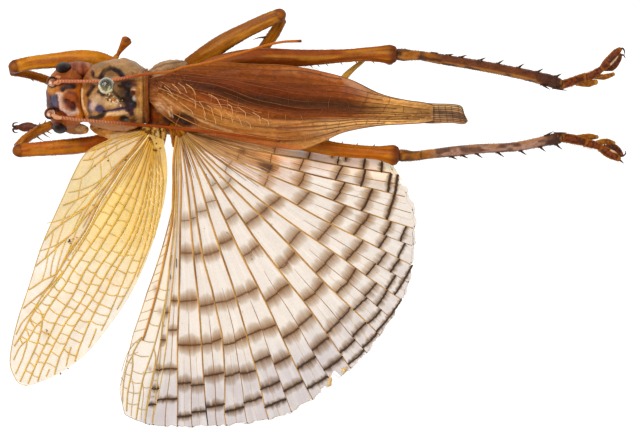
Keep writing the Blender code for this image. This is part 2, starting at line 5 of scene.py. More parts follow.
import bpy
import numpy as np
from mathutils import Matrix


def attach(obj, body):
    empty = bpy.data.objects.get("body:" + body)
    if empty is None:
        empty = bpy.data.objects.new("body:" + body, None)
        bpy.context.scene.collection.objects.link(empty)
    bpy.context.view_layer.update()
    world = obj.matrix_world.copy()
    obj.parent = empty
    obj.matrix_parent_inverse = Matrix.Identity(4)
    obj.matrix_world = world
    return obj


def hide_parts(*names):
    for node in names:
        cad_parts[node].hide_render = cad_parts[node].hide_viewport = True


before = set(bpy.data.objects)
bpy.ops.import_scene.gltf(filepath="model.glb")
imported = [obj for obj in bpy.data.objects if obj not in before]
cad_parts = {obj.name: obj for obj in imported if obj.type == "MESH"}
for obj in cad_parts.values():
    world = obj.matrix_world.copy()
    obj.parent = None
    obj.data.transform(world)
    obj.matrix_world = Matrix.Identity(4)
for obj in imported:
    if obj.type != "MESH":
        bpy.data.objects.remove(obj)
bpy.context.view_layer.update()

# ---------------------------------------------------------------- plan and camera
MM = 0.001
UNIT = 0.09846e-3
VIEW = 0.320
WING_Z = 16.0
MID_U, MID_V = 320.0, 218.0
SHIFT_X, SHIFT_Y = 0.000374, -0.000050
HUB = (178.0, 128.0)

scene = bpy.context.scene
scene.view_settings.view_transform = "Standard"
scene.view_settings.look = "None"

lens = bpy.data.cameras.new("camera")
lens.sensor_width = 36.0
lens.sensor_fit = "HORIZONTAL"
lens.lens = 36.0 * VIEW / (640 * UNIT)
lens.clip_start, lens.clip_end = 0.01, 5.0
camera = bpy.data.objects.new("camera", lens)
camera.location = (SHIFT_X, SHIFT_Y, WING_Z * MM + VIEW)
scene.collection.objects.link(camera)
scene.camera = camera


def light(name, where, size, power, colour=(1, 1, 1)):
    lamp = bpy.data.lights.new(name, "AREA")
    lamp.shape = "SQUARE"
    lamp.size = size
    lamp.energy = power
    lamp.color = colour
    obj = bpy.data.objects.new(name, lamp)
    obj.location = where
    aim = -np.array(where) + np.array([0, 0, 0.014])
    from mathutils import Vector
    obj.rotation_euler = Vector(aim).to_track_quat("-Z", "Y").to_euler()
    scene.collection.objects.link(obj)


light("key", (-0.15, 0.18, 0.40), 0.30, 1.72, (1.0, 0.985, 0.955))
light("fill", (0.26, -0.16, 0.36), 0.40, 0.5, (0.98, 0.98, 1.0))
world = bpy.data.worlds.new("studio")
scene.world = world
world.use_nodes = True
world.node_tree.nodes["Background"].inputs["Color"].default_value = (1, 1, 1, 1)
world.node_tree.nodes["Background"].inputs["Strength"].default_value = 0.50


# ---------------------------------------------------------------- helpers
def lin(r, g, b):
    """A colour given as 0 to 255 display values, as linear light."""
    c = np.array([r, g, b]) / 255.0
    return np.where(c <= 0.04045, c / 12.92, ((c + 0.055) / 1.055) ** 2.4)


def at(u, v, z):
    """Places in metres from the plan and heights in millimetres; works on arrays."""
    u, v, z = np.broadcast_arrays(np.asarray(u, float), np.asarray(v, float), np.asarray(z, float))
    k = (VIEW - (z - WING_Z) * MM) / VIEW
    return np.stack([(u - MID_U) * UNIT * k + SHIFT_X, (MID_V - v) * UNIT * k + SHIFT_Y, z * MM], -1)


def smooth(rows, count):
    """A smooth curve through the rows, read at count even steps."""
    rows = np.array(rows, float)
    gaps = np.linalg.norm(np.diff(rows[:, :3] * [1, 1, 10], axis=0), axis=1)
    t = np.concatenate([[0.0], np.cumsum(gaps)])
    last = len(rows) - 1
    slope = np.array([(rows[min(i + 1, last)] - rows[max(i - 1, 0)]) / (t[min(i + 1, last)] - t[max(i - 1, 0)]) for i in range(last + 1)])
    q = np.linspace(0.0, t[-1], count)
    i = np.clip(np.searchsorted(t, q, side="right") - 1, 0, last - 1)
    h = (t[i + 1] - t[i])[:, None]
    x = ((q - t[i]) / h[:, 0])[:, None]
    return (2 * x**3 - 3 * x**2 + 1) * rows[i] + (x**3 - 2 * x**2 + x) * h * slope[i] + (3 * x**2 - 2 * x**3) * rows[i + 1] + (x**3 - x**2) * h * slope[i + 1]


def ease(x):
    x = np.clip(x, 0.0, 1.0)
    return x * x * (3 - 2 * x)


def noise(x, y, z=0.0, seed=0):
    """Smooth value noise, 0 to 1, on arrays."""
    x, y, z = np.broadcast_arrays(np.asarray(x, float), np.asarray(y, float), np.asarray(z, float))
    i, j, k = (np.floor(a).astype(np.int64) for a in (x, y, z))
    fx, fy, fz = ease(x - i), ease(y - j), ease(z - k)

    def spot(a, b, c):
        n = (a * 73856093) ^ (b * 19349663) ^ (c * 83492791) ^ (seed * 26544357)
        n = ((n ^ (n >> 13)) * 1274126177) & 0x7FFFFFFF
        return ((n ^ (n >> 15)) & 0xFFFF) / 65535.0

    def row(b, c):
        return spot(i, b, c) * (1 - fx) + spot(i + 1, b, c) * fx

    def flat(c):
        return row(j, c) * (1 - fy) + row(j + 1, c) * fy

    return flat(k) * (1 - fz) + flat(k + 1) * fz


def mixed(a, b, t):
    t = np.asarray(t)[..., None]
    return np.asarray(a) * (1 - t) + np.asarray(b) * t


def with_alpha(colour, alpha):
    alpha = np.broadcast_to(alpha, colour.shape[:-1])
    return np.concatenate([colour, alpha[..., None]], -1)


def blob(U, V, u, v, ru, rv, turn=0.0, soft=0.35):
    """How much of an oval mark covers each place, 0 to 1, with a soft, slightly uneven rim."""
    a = radians(turn)
    x, y = U - u, V - v
    p, q = (x * cos(a) + y * sin(a)) / ru, (-x * sin(a) + y * cos(a)) / rv
    d = np.sqrt(p * p + q * q) + 0.16 * (noise(U * 0.45, V * 0.45, 3.3) - 0.5)
    return ease((1 + soft - d) / (2 * soft))


def stroke(U, V, points, width, soft=0.5):
    """How much of a line of that half width covers each place."""
    best = np.full(np.shape(U), 1e9)
    for (a, b), (c, d) in zip(points[:-1], points[1:]):
        e, f = c - a, d - b
        t = np.clip(((U - a) * e + (V - b) * f) / (e * e + f * f), 0, 1)
        best = np.minimum(best, np.hypot(U - a - t * e, V - b - t * f))
    best = best + width * 0.35 * (noise(U * 0.5, V * 0.5, 7.7) - 0.5)
    return ease((width * (1 + soft) - best) / (2 * soft * width))


def mesh_object(name, verts, faces, colours, mat, flat=False):
    mesh = bpy.data.meshes.new(name)
    mesh.from_pydata(np.asarray(verts, float).reshape(-1, 3).tolist(), [], faces if isinstance(faces, list) else faces.tolist())
    layer = mesh.color_attributes.new("tint", "FLOAT_COLOR", "POINT")
    layer.data.foreach_set("color", np.asarray(colours, np.float32).reshape(-1))
    mesh.materials.append(mat)
    obj = bpy.data.objects.new(name, mesh)
    scene.collection.objects.link(obj)
    if not flat:
        mesh.shade_smooth()
    return obj


def grid_faces(rows, cols, ring=False, start=0):
    i, j = np.meshgrid(np.arange(rows - 1), np.arange(cols if ring else cols - 1), indexing="ij")
    a, b = i * cols + j, i * cols + (j + 1) % cols
    return (np.stack([a, b, b + cols, a + cols], -1).reshape(-1, 4) + start)


def kept(obj, slot, *nodes):
    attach(obj, "root")
    if nodes:
        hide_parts(*nodes)
    return obj


class Tubes:
    """Gathers many thin tubes into one mesh."""

    def __init__(self, sides=5):
        self.sides, self.verts, self.faces, self.cols, self.count = sides, [], [], [], 0

    def add(self, path, radius, colour, flat=1.0, shade=None):
        """path (n, 3) in metres, radius (n,) in metres, colour (n, 3) or (3,)."""
        path = np.asarray(path, float)
        n = len(path)
        radius = np.broadcast_to(np.asarray(radius, float), (n,))
        colour = np.broadcast_to(np.asarray(colour, float), (n, 3))
        run = np.gradient(path, axis=0)
        run /= np.linalg.norm(run, axis=1)[:, None] + 1e-12
        side = np.cross(run, (0, 0, 1.0))
        weak = np.linalg.norm(side, axis=1) < 0.2
        side[weak] = np.cross(run[weak], (0.3, 1.0, 0))
        side /= np.linalg.norm(side, axis=1)[:, None]
        up = np.cross(side, run)
        a = 2 * pi * (np.arange(self.sides) + 0.5) / self.sides
        ring = path[:, None] + (side[:, None] * np.cos(a)[None, :, None] + up[:, None] * np.sin(a)[None, :, None] * flat) * radius[:, None, None]
        tone = np.repeat(colour[:, None], self.sides, 1)
        # painted light and shade: with shade given, one side of each tube is painted lighter and the other darker
        if shade is not None:
            tone = tone * (1 + shade * np.cos(a)[None, :, None])
        self.verts += [ring.reshape(-1, 3), path[:1] - run[:1] * radius[0] * 0.3, path[-1:] + run[-1:] * radius[-1] * 0.3]
        self.cols += [tone.reshape(-1, 3), colour[:1], colour[-1:]]
        c, m = self.count, n * self.sides
        self.faces += grid_faces(n, self.sides, True, c).tolist()
        for j in range(self.sides):
            k = (j + 1) % self.sides
            self.faces.append((c + m, c + k, c + j))
            self.faces.append((c + m + 1, c + m - self.sides + j, c + m - self.sides + k))
        self.count += m + 2

    def done(self, name, mat):
        cols = np.concatenate(self.cols)
        return mesh_object(name, np.concatenate(self.verts), self.faces, with_alpha(np.clip(cols, 0, 1), 1.0), mat)


def surface(name, rough=0.35, coat=0.0, coat_rough=0.2, bump=0.15, scale=9000.0, grain=0.18, spec=0.5, sheer=False, sss=0.0, mottle=1400.0, tone=0.25):
    """Cuticle: the painted tint, broken up by fine noise, with pitted bump and uneven gloss."""
    mat = bpy.data.materials.new(name)
    mat.use_nodes = True
    tree = mat.node_tree
    nodes, links = tree.nodes, tree.links
    shader = nodes["Principled BSDF"]
    tint = nodes.new("ShaderNodeAttribute")
    tint.attribute_name = "tint"
    coords = nodes.new("ShaderNodeTexCoord")
    fine = nodes.new("ShaderNodeTexNoise")
    fine.inputs["Scale"].default_value = scale
    fine.inputs["Detail"].default_value = 4
    broad = nodes.new("ShaderNodeTexNoise")
    broad.inputs["Scale"].default_value = mottle
    broad.inputs["Detail"].default_value = 5
    for n in (fine, broad):
        links.new(coords.outputs["Object"], n.inputs["Vector"])
    vary = nodes.new("ShaderNodeMapRange")
    vary.inputs["From Min"].default_value, vary.inputs["From Max"].default_value = 0.3, 0.7
    vary.inputs["To Min"].default_value, vary.inputs["To Max"].default_value = 1 - tone, 1 + tone
    links.new(broad.outputs["Fac"], vary.inputs["Value"])
    vary2 = nodes.new("ShaderNodeMapRange")
    vary2.inputs["From Min"].default_value, vary2.inputs["From Max"].default_value = 0.3, 0.7
    vary2.inputs["To Min"].default_value, vary2.inputs["To Max"].default_value = 1 - grain, 1 + grain
    links.new(fine.outputs["Fac"], vary2.inputs["Value"])
    both = nodes.new("ShaderNodeMath")
    both.operation = "MULTIPLY"
    links.new(vary.outputs["Result"], both.inputs[0])
    links.new(vary2.outputs["Result"], both.inputs[1])
    paint = nodes.new("ShaderNodeVectorMath")
    paint.operation = "SCALE"
    links.new(tint.outputs["Color"], paint.inputs[0])
    links.new(both.outputs[0], paint.inputs["Scale"])
    links.new(paint.outputs["Vector"], shader.inputs["Base Color"])
    gloss = nodes.new("ShaderNodeMapRange")
    gloss.inputs["From Min"].default_value, gloss.inputs["From Max"].default_value = 0.3, 0.7
    gloss.inputs["To Min"].default_value, gloss.inputs["To Max"].default_value = max(rough - 0.1, 0.05), rough + 0.12
    links.new(broad.outputs["Fac"], gloss.inputs["Value"])
    links.new(gloss.outputs["Result"], shader.inputs["Roughness"])
    if bump:
        relief = nodes.new("ShaderNodeBump")
        relief.inputs["Strength"].default_value = bump
        relief.inputs["Distance"].default_value = 0.00006
        links.new(fine.outputs["Fac"], relief.inputs["Height"])
        links.new(relief.outputs["Normal"], shader.inputs["Normal"])
    shader.inputs["Specular IOR Level"].default_value = spec
    shader.inputs["Coat Weight"].default_value = coat
    shader.inputs["Coat Roughness"].default_value = coat_rough
    if sss:
        shader.inputs["Subsurface Weight"].default_value = sss
        shader.inputs["Subsurface Scale"].default_value = 0.0004
        shader.inputs["Subsurface Radius"].default_value = (1.0, 0.45, 0.2)
    if sheer:
        links.new(tint.outputs["Alpha"], shader.inputs["Alpha"])
    return mat


HIDE = surface("hide", rough=0.44, coat=0.0, bump=0.4, scale=7000, grain=0.22, tone=0.22, spec=0.13)
LEG = surface("leg", rough=0.38, coat=0.0, bump=0.2, scale=9000, grain=0.12, tone=0.14, spec=0.14)
FOOT = surface("foot", rough=0.4, coat=0.0, bump=0.3, scale=12000, grain=0.2, tone=0.2, spec=0.15)
VEIN = surface("vein", rough=0.5, coat=0.0, bump=0.1, scale=16000, grain=0.12, tone=0.15, spec=0.08)
FILM = surface("film", rough=0.42, coat=0.0, bump=0.10, scale=5000, grain=0.04, tone=0.03, sheer=True, spec=0.14)
PARCH = surface("parchment", rough=0.5, coat=0.0, bump=0.2, scale=6000, grain=0.07, tone=0.07, sheer=True, spec=0.08)


# ---------------------------------------------------------------- floor
def floor():
    mesh = bpy.data.meshes.new("floor")
    mesh.from_pydata([(-2, -2, 0), (2, -2, 0), (2, 2, 0), (-2, 2, 0)], [], [(0, 1, 2, 3)])
    obj = bpy.data.objects.new("floor", mesh)
    scene.collection.objects.link(obj)
    mat = bpy.data.materials.new("paper")
    mat.use_nodes = True
    shader = mat.node_tree.nodes["Principled BSDF"]
    shader.inputs["Base Color"].default_value = (0.2, 0.2, 0.2, 1)
    shader.inputs["Roughness"].default_value = 0.9
    shader.inputs["Specular IOR Level"].default_value = 0.1
    shader.inputs["Emission Color"].default_value = (1, 1, 1, 1)
    shader.inputs["Emission Strength"].default_value = 0.99
    mesh.materials.append(mat)


floor()


# ---------------------------------------------------------------- spread hind wing
RUN = (25, 60, 94, 131, 165, 210, 290)          # distances from the hub at which the bearings below are given
PRIMARY = [(19.5, 17.6, 15.6, 13.6, 12.9, 12.2, 10.9), (26, 23.5, 21.0, 19.4, 18.4, 17.2, 15.8), (33, 30, 27.5, 26.2, 25.2, 24.0, 22.6), (40, 37, 34.6, 33.2, 32.4, 31.4, 30.0),
           (46, 43.5, 41.6, 40.5, 39.6, 38.4, 37.4), (50.5, 48.5, 47.2, 46.6, 46.5, 46.4, 45.8), (54, 54.3, 55.0, 55.2, 54.6, 54.1, 54.2), (58.5, 60.6, 62.6, 63.3, 63.3, 63.4, 63.7),
           (65, 68.5, 70.4, 71, 71.0, 71.4, 72.8), (73, 76, 78.3, 79.2, 78.0, 78.0, 80.7), (79, 81, 82.4, 83, 83.2, 83.8, 84.3), (85.5, 87.2, 88.6, 89.3, 89.8, 90.0, 90.2),
           (90, 90.2, 90.9, 91.6, 92.2, 93.0, 94.8), (94, 92.0, 92.3, 93.3, 93.8, 94.7, 96.3)]
MAIN = (98.6, 93.9, 93.6, 95.9, 97.3, 99.2, 103.4)
CROSSES = {     # cell: rows of (share a, share b, distance at a, distance at b)
    0: [(0, 1, 99, 99), (0, 1, 133, 133), (0, .5, 157, 156), (.4, 1, 163, 163), (0, .6, 171, 170), (0, 1, 189, 189), (0, 1, 205, 207)],
    1: [(0, 1, 69, 70), (0, 1, 97, 98), (0, 1, 129, 127), (0, 1, 168, 165), (0, 1, 191, 191), (0, 1, 217, 219), (0, 1, 224, 226)],
    2: [(0, 1, 66, 67), (0, 1, 101, 100), (0, 1, 134, 133), (0, .5, 175, 173), (.5, 1, 174, 171), (0, .5, 203, 202), (.5, 1, 202, 200), (0, 1, 226, 227)],
    3: [(0, 1, 62, 62), (0, 1, 101, 103), (0, 1, 145, 141), (0, .5, 184, 182), (.5, 1, 181, 179), (0, .5, 209, 207), (.5, 1, 206, 205), (0, .5, 232, 231), (.5, 1, 234, 233), (0, .5, 248, 249), (.5, 1, 254, 255)],
    4: [(0, 1, 61, 64), (0, 1, 123, 119), (0, .5, 181, 179), (.5, 1, 179, 178), (0, .5, 216, 215), (.5, 1, 214, 213), (0, .5, 242, 241), (.5, 1, 239, 238), (0, .5, 257, 256), (.5, 1, 262, 263), (0, 1, 271, 272)],
    5: [(0, 1, 72, 74), (0, 1, 119, 118), (0, 1, 159, 160), (0, .5, 199, 199), (.5, 1, 200, 199), (0, .5, 226, 228), (.5, 1, 229, 228), (0, .5, 251, 250), (.5, 1, 253, 252), (0, .5, 264, 266), (.5, 1, 272, 271), (0, 1, 281, 284)],
    6: [(0, 1, 76, 75), (0, 1, 118, 117), (0, .5, 170, 171), (.5, 1, 172, 172), (0, .5, 211, 213), (.5, 1, 214, 213), (0, .5, 248, 250), (.5, 1, 251, 253), (0, .5, 270, 271), (.5, 1, 275, 276), (0, .5, 285, 286), (.5, 1, 289, 290)],
    7: [(0, 1, 66, 66), (0, 1, 102, 103), (0, .5, 142, 142), (.5, 1, 143, 143), (0, .5, 191, 191), (.5, 1, 192, 194), (0, .5, 229, 231), (.5, 1, 233, 234), (0, .5, 257, 259), (.5, 1, 266, 268), (0, .5, 281, 282), (.5, 1, 289, 290)],
    8: [(0, 1, 81, 79), (0, 1, 122, 122), (0, .5, 177, 178), (.5, 1, 177, 178), (0, .5, 219, 218), (.5, 1, 217, 218), (0, .5, 253, 254), (.5, 1, 245, 246), (0, .5, 281, 283), (.5, 1, 272, 273), (.5, 1, 291, 292)],
    9: [(0, 1, 86, 85), (0, 1, 128, 129), (0, .5, 178, 179), (.5, 1, 179, 178), (0, .5, 218, 220), (.5, 1, 221, 221), (0, .5, 254, 253), (.5, 1, 251, 252), (0, .5, 281, 282), (.5, 1, 286, 287)],
    10: [(0, 1, 91, 91), (0, 1, 126, 127), (0, 1, 178, 179), (0, .5, 214, 216), (.5, 1, 217, 217), (0, 1, 248, 249), (0, 1, 279, 280)],
    11: [(0, 1, 92, 92), (0, 1, 125, 124), (0, 1, 172, 173), (0, 1, 217, 216), (0, .5, 257, 257), (.5, 1, 254, 255), (0, .5, 284, 284), (.5, 1, 287, 288)],
    12: [(0, 1, 172, 172), (0, 1, 201, 202), (0, 1, 240, 241), (0, 1, 270, 272)],
    13: [(0, 1, 184, 184), (0, 1, 212, 212), (0, 1, 241, 242), (0, 1, 260, 261), (0, 1, 277, 278)],
}


def bearing_of(row, r):
    return np.interp(r, RUN, row)


def fan_edges(r):
    first = np.interp(r, (0, 20, 50, 100, 150, 180, 200, 216), (26, 15, 8.5, 8.6, 8.2, 8.0, 8.3, 9.0))
    front = np.interp(r, (0, 50, 80, 108, 137, 167, 210, 267), (100, 95.5, 94.3, 96.6, 98.8, 100.7, 102.3, 102.7))
    return first, front


RIM_LINES = np.sort([row[-1] for row in PRIMARY] + [(a[-1] + b[-1]) / 2 for a, b in zip(PRIMARY[:-1], PRIMARY[1:])])


def rim(q):
    q = np.asarray(q, float)
    e = 10.5 + 92.2 * q
    r = np.interp(e, (10, 20, 36, 52, 70, 84, 96, 100.5, 102.8), (214, 251, 281, 295, 307.5, 300, 298, 292, 266))
    gap = np.min(np.abs((10.2 + 92.5 * q)[..., None] - RIM_LINES), -1)
    r = r - 1.7 * ease(gap / 1.7) * (e < 92) + (1.7 * (noise(q * 150, 1.0, 0, 4) - 0.5) + 1.0 * (noise(q * 420, 1.0, 0, 5) - 0.5)) * (1 - 0.7 * ease((e - 90) / 4))
    tear = 9 * ease((1.3 - np.abs(e - 58.6)) / 0.7) + 3 * ease((0.8 - np.abs(e - 61.5)) / 0.5) + 5 * ease((0.8 - np.abs(e - 15.2)) / 0.5)
    return r - tear


def fan_place(b, r, lift=0.0):
    """Place at bearing b degrees and distance r from the hub, on the pleated film."""
    b, r = np.broadcast_arrays(np.asarray(b, float), np.asarray(r, float))
    first, front = fan_edges(r)
    t = r / 290.0
    sink = (1 - ease((b - first) / 15.0)) * ease((t - 0.30) / 0.22) + 0.15 * (1 - ease((b - first) / 12.0)) * ease(t / 0.2)
    rows = [first] + [bearing_of(p, r) for p in PRIMARY] + [front]
    level = np.zeros(b.shape)
    for lo, hi in zip(rows[:-1], rows[1:]):
        x = (b - lo) / np.maximum(hi - lo, 0.2)
        level = np.where((x >= 0) & (x <= 1), np.abs(2 * x - 1) * 2 - 1, level)
    fold = 0.16 * ease(t / 0.4) * level * ease((97 - b) / 2) + 0.03 * np.sin(r * 0.11 + b * 0.5)
    a = np.radians(b)
    return at(HUB[0] + r * np.cos(a), HUB[1] + r * np.sin(a), 15.35 - 3.2 * np.minimum(sink, 1.0) + fold + lift)


def edge_at(k):
    """Distance of the wing's rim in cell k."""
    return float(np.interp(PRIMARY[k - 1][-1] if k else 12.0, (10, 20, 36, 52, 70, 84, 96), (222, 251, 281, 295, 306, 300, 298)))


def hind_wing():
    rng = np.random.default_rng(7)
    nq, nr = 620, 330
    Q, T = np.meshgrid(np.linspace(0, 1, nq), np.linspace(0.045, 1, nr), indexing="ij")
    R = T * rim(Q)
    first, front = fan_edges(R)
    B = first + (front - first) * Q
    a = np.radians(B)
    U, V = HUB[0] + R * np.cos(a), HUB[1] + R * np.sin(a)
    streak, fine = noise(B * 8.0, R * 0.035, 0, 3), noise(B * 22.0, R * 0.02, 0, 13)
    outer = ease((R - 215) / 60) * ease((B - 14) / 16) * (1 - 0.45 * ease((62 - B) / 20))
    colour = mixed(lin(213, 196, 178), lin(176, 161, 158), outer)
    colour = mixed(colour, lin(244, 234, 220), 0.2 * ease((noise(B * 1.2, R * 0.05, 0, 12) - 0.5) / 0.3))
    alpha = 0.69 + 0.05 * outer + 0.08 * (streak - 0.5) + 0.04 * (fine - 0.5) + 0.06 * (noise(U * 0.2, V * 0.2, 2) - 0.5)
    # painted light: the film in the fold beside the body is painted near-white cream to offset the shade it lies in
    colour = mixed(colour, lin(255, 236, 206), 0.9 * ease((17 - B) / 6) * ease((R - 100) / 50))
    crease = ease((fine - 0.72) / 0.2)
    colour = colour * (1 - 0.10 * crease)[..., None]
    rows = [np.maximum(first, 9.6 + 0 * R)] + [bearing_of(p, R) for p in PRIMARY]
    dark, core = np.zeros_like(R), np.zeros_like(R)
    for k, marks in CROSSES.items():
        lo = rows[k]
        hi = rows[k + 1] if k < len(rows) - 1 else bearing_of(MAIN, R)
        x = (B - lo) / np.maximum(hi - lo, 0.2)
        for xa, xb, ra, rb in marks:
            y = (x - xa) / (xb - xa)
            d = R - (ra + (rb - ra) * np.clip(y, 0, 1)) - 0.7
            near = (np.abs(d) < 16) & (y > -0.05) & (y < 1.05)
            if not near.any():
                continue
            f = ra / edge_at(k)
            d = d + 2.0 * (noise(B * 2.2, 3.0 + k, 0, 31) - 0.5) * np.interp(f, (0.76, 0.92), (0.2, 1.0))
            reach = np.interp(f, (0.2, 0.35, 0.45, 0.6, 0.78, 0.86, 0.93, 1.0), (8.0, 10.0, 11.2, 11.6, 11.2, 9.6, 6.6, 3.0)) * (0.6 if k in (0, 12, 13) else 1.0)
            wide = (hi - lo) * (xb - xa) * np.radians(1.0) * R
            rim_x = np.minimum(y, 1 - y) * wide
            dome = np.sin(pi * np.clip(y, 0, 1)) ** 0.55
            w = reach * (0.55 + 0.45 * dome) * (0.84 + 0.32 * noise(B * 1.3, f * 9 + k, 0, 6)) * (0.92 + 0.16 * fine)
            body = np.clip(1.04 - np.abs(d) / w, 0, 1) ** 0.9 * ease(rim_x / 0.8 + 0.5)
            thick = np.interp(f, (0.3, 0.7, 0.85, 0.95), (0.9, 1.1, 2.3, 3.0)) * (0.40 + 0.6 * fine + 0.7 * noise(B * 3.0, 7.0 + k, 0, 32))
            much = np.interp(f, (0.2, 0.3, 0.42, 1.0), (0.30, 0.62, 1.0, 1.0)) * (0.85 + 0.2 * rng.random())
            dark = np.where(near, np.maximum(dark, body * much), dark)
            core = np.where(near, np.maximum(core, ease((thick - np.abs(d)) / thick) * ease(rim_x / 0.8 + 0.3) * np.interp(f, (0.3, 0.85), (0.5, 1.0))), core)
    thin = ease((R - 226) / 16) * ease((56 - B) / 12)
    core = core * (1 - 0.42 * thin)
    dark = np.clip(dark * (0.80 + 0.36 * streak - 0.06 * crease) * (1 - 0.2 * thin), 0, 1)
    # what a brown of each depth does to the clear film's red, green and blue
    depth = (0, 0.2, 0.4, 0.6, 0.8, 1.0)
    stain = [lin(217, 199, 180), lin(196, 175, 152), lin(181, 154, 125), lin(168, 135, 102), lin(150, 113, 76), lin(138, 95, 57)]
    colour = colour * np.stack([np.interp(dark, depth, [float(np.ravel(c)[i] / np.ravel(stain[0])[i]) for c in stain]) for i in range(3)], -1)
    colour = mixed(colour, mixed(lin(84, 56, 34), lin(66, 52, 40), outer), 0.85 * core)
    alpha = np.clip(alpha + (0.985 - alpha) * np.sqrt(dark), 0, 1)
    # brown, cloudy membrane beside the body
    root = (1 - 0.40 * ease((B - 22) / 6)) * ease((38 - B) / 10) * ease((150 - R) / 60)
    root = np.maximum(root, ease((146 - R - 26 * fine - 16 * streak) / 46) * ease((22 - B) / 6))
    root = np.maximum(root, 0.45 * ease((44 - R) / 30))
    brown = mixed(lin(206, 140, 80), lin(178, 110, 56), noise(B * 1.6, R * 0.05, 0, 15))
    brown = mixed(brown, lin(226, 182, 130), 0.7 * ease((noise(B * 5, R * 0.03, 0, 16) - 0.5) / 0.2))
    brown = mixed(brown, lin(132, 74, 34), 0.6 * ease((noise(B * 7, R * 0.03, 0, 17) - 0.55) / 0.2))
    colour = mixed(colour, brown, np.clip(root * 1.0, 0, 1))
    for u, v, w, h, rgb, much in ((242, 152, 4.6, 4.4, (112, 66, 40), .8), (227, 155, 3, 3.4, (130, 84, 52), .6), (266.6, 167.6, 7.4, 6.0, (88, 60, 46), .9), (262, 163, 5, 4, (120, 80, 54), .6), (251, 153, 6, 3, (150, 100, 60), .5), (206, 160, 16, 8, (226, 190, 150), .35)):
        m = blob(U, V, u, v, w, h, 12, 0.6) * much
        colour = mixed(colour, lin(*rgb), m)
        root = np.maximum(root, m)
    alpha = np.maximum(alpha, 0.985 * np.clip(root * 1.1, 0, 1))
    # the strip in the fold beside the body lies in shade; painted light: its colour is lightened and warmed to offset
    # that shade, and it is thicker, so more opaque
    fold = ease((21 - B) / 6)
    colour = colour * (1 + 0.75 * fold * ease((190 - R) / 60))[..., None] * mixed(np.array([1.0, 1.0, 1.0]), np.array([0.92, 0.90, 0.84]), fold * ease((150 - R) / 60))
    alpha = np.maximum(alpha, 0.95 * fold * ease((R - 60) / 30) * ease((262 - R) / 40))
    shade_lift = fold * ease((R - 85) / 30) * ease((240 - R) / 50)
    colour = np.minimum(colour * (1 + 0.15 * shade_lift * (1 - dark))[..., None], mixed(np.array([1.0, 1.0, 1.0]), np.array([1.0, 0.79, 0.64]), shade_lift))
    # the yellow front field
    gold = ease((B - np.interp(R, RUN, PRIMARY[-1]) - 0.2) / 1.6)
    colour = mixed(colour, mixed(lin(226, 204, 164), lin(220, 206, 188), ease((R - 150) / 90)), gold * 0.9)
    alpha = np.maximum(alpha, 0.70 * gold)
    for u, v, w in ((156, 289, 3.4), (160, 311, 3.2), (163, 338, 3.4), (157, 366, 3.6), (150, 369, 2.4), (158, 398, 3.6), (164, 312, 2.6)):
        m = blob(U, V, u, v, w, w * 1.3, 0, 0.7)
        colour, alpha = mixed(colour, lin(164, 128, 98), 0.8 * m), np.maximum(alpha, 0.85 * m)
    allb = np.stack(rows[1:] + [bearing_of(MAIN, R)], -1)
    near = np.min(np.abs(B[..., None] - allb), -1) * np.radians(1) * R
    seam = ease((2.4 - near) / 1.5) * ease((230 - R) / 120 + 0.35)
    colour = mixed(colour, lin(236, 196, 146), 0.55 * seam * (1 - 0.6 * dark))
    alpha = np.maximum(alpha, 0.72 * seam)
    kept(mesh_object("hindwing_film", fan_place(B, R), grid_faces(nq, nr), with_alpha(np.clip(colour, 0, 1), np.clip(alpha, 0, 1)), FILM), "membrane", "hindwing_left")

    veins = Tubes(6)
    gold, brown = lin(190, 144, 80), lin(122, 78, 40)

    def reach_of(b):
        return float(rim((b - 10.2) / 92.5)) - 0.7

    for k, row in enumerate(PRIMARY):
        r = np.linspace(10, reach_of(row[-1]), 130)
        b = bearing_of(row, r) + 0.12 * np.sin(r * 0.05 + k * 2)
        wide = np.interp(r, (9, 60, 170, 300), (0.085, 0.115, 0.105, 0.055)) * MM * (1.0 if 4 < k < 12 else 0.8)
        tone = mixed(gold, brown, np.clip(0.12 + 1.1 * (noise(r * 0.035, k * 3.1, 0, 8) - 0.35) + 0.35 * ease((30 - row[3]) / 15), 0, 1))
        if k >= 12:
            tone = mixed(lin(206, 172, 106), lin(180, 136, 72), noise(r * 0.06, k * 2.0, 0, 5))
        if k == 10:
            tone = mixed(tone, lin(52, 34, 22), ease((r - 270) / 10))
        veins.add(fan_place(b, r, 0.03), wide, tone, shade=0.35)
    for k, (lo, hi) in enumerate(zip(PRIMARY[:-1], PRIMARY[1:])):
        if hi[-1] - lo[-1] < 3.0:
            continue
        mid = [(p + q) / 2 for p, q in zip(lo, hi)]
        r = np.linspace(reach_of(mid[-1]) * rng.uniform(0.50, 0.64), reach_of(mid[-1]), 70)
        b = bearing_of(mid, r) + 0.10 * np.sin(r * 0.08 + k)
        veins.add(fan_place(b, r, 0.02), np.interp(np.arange(70), (0, 12, 69), (0.014, 0.036, 0.042)) * MM, mixed(gold, brown, 0.35 + 0.4 * noise(r * 0.05, k * 1.7, 0, 9)), shade=0.3)
        for share in (0.25, 0.75):
            if hi[-1] - lo[-1] > 5.5 and rng.random() < 0.7:
                side = [p + (q - p) * share for p, q in zip(lo, hi)]
                r = np.linspace(reach_of(side[-1]) * rng.uniform(0.66, 0.84), reach_of(side[-1]), 30)
                veins.add(fan_place(bearing_of(side, r), r, 0.012), 0.016 * MM, lin(196, 160, 108))
    for k, marks in CROSSES.items():
        for xa, xb, ra, rb in marks:
            x = np.linspace(0, 1, 10)
            f = ra / edge_at(k)
            r = 0.7 + ra + (rb - ra) * x + 0.9 * np.sin(pi * x) * rng.normal(0, 0.6) + rng.normal(0, 0.22, 10)
            lo = fan_edges(r)[0] if k == 0 else bearing_of(PRIMARY[k - 1], r)
            hi = bearing_of(MAIN, r) if k == len(PRIMARY) else bearing_of(PRIMARY[k], r)
            wide = np.interp(f, (0.2, 0.5, 0.8, 0.97), (0.018, 0.024, 0.050, 0.085)) * MM * (0.85 + 0.3 * rng.random(10)) * (1.5 if k < 3 else 1.15)
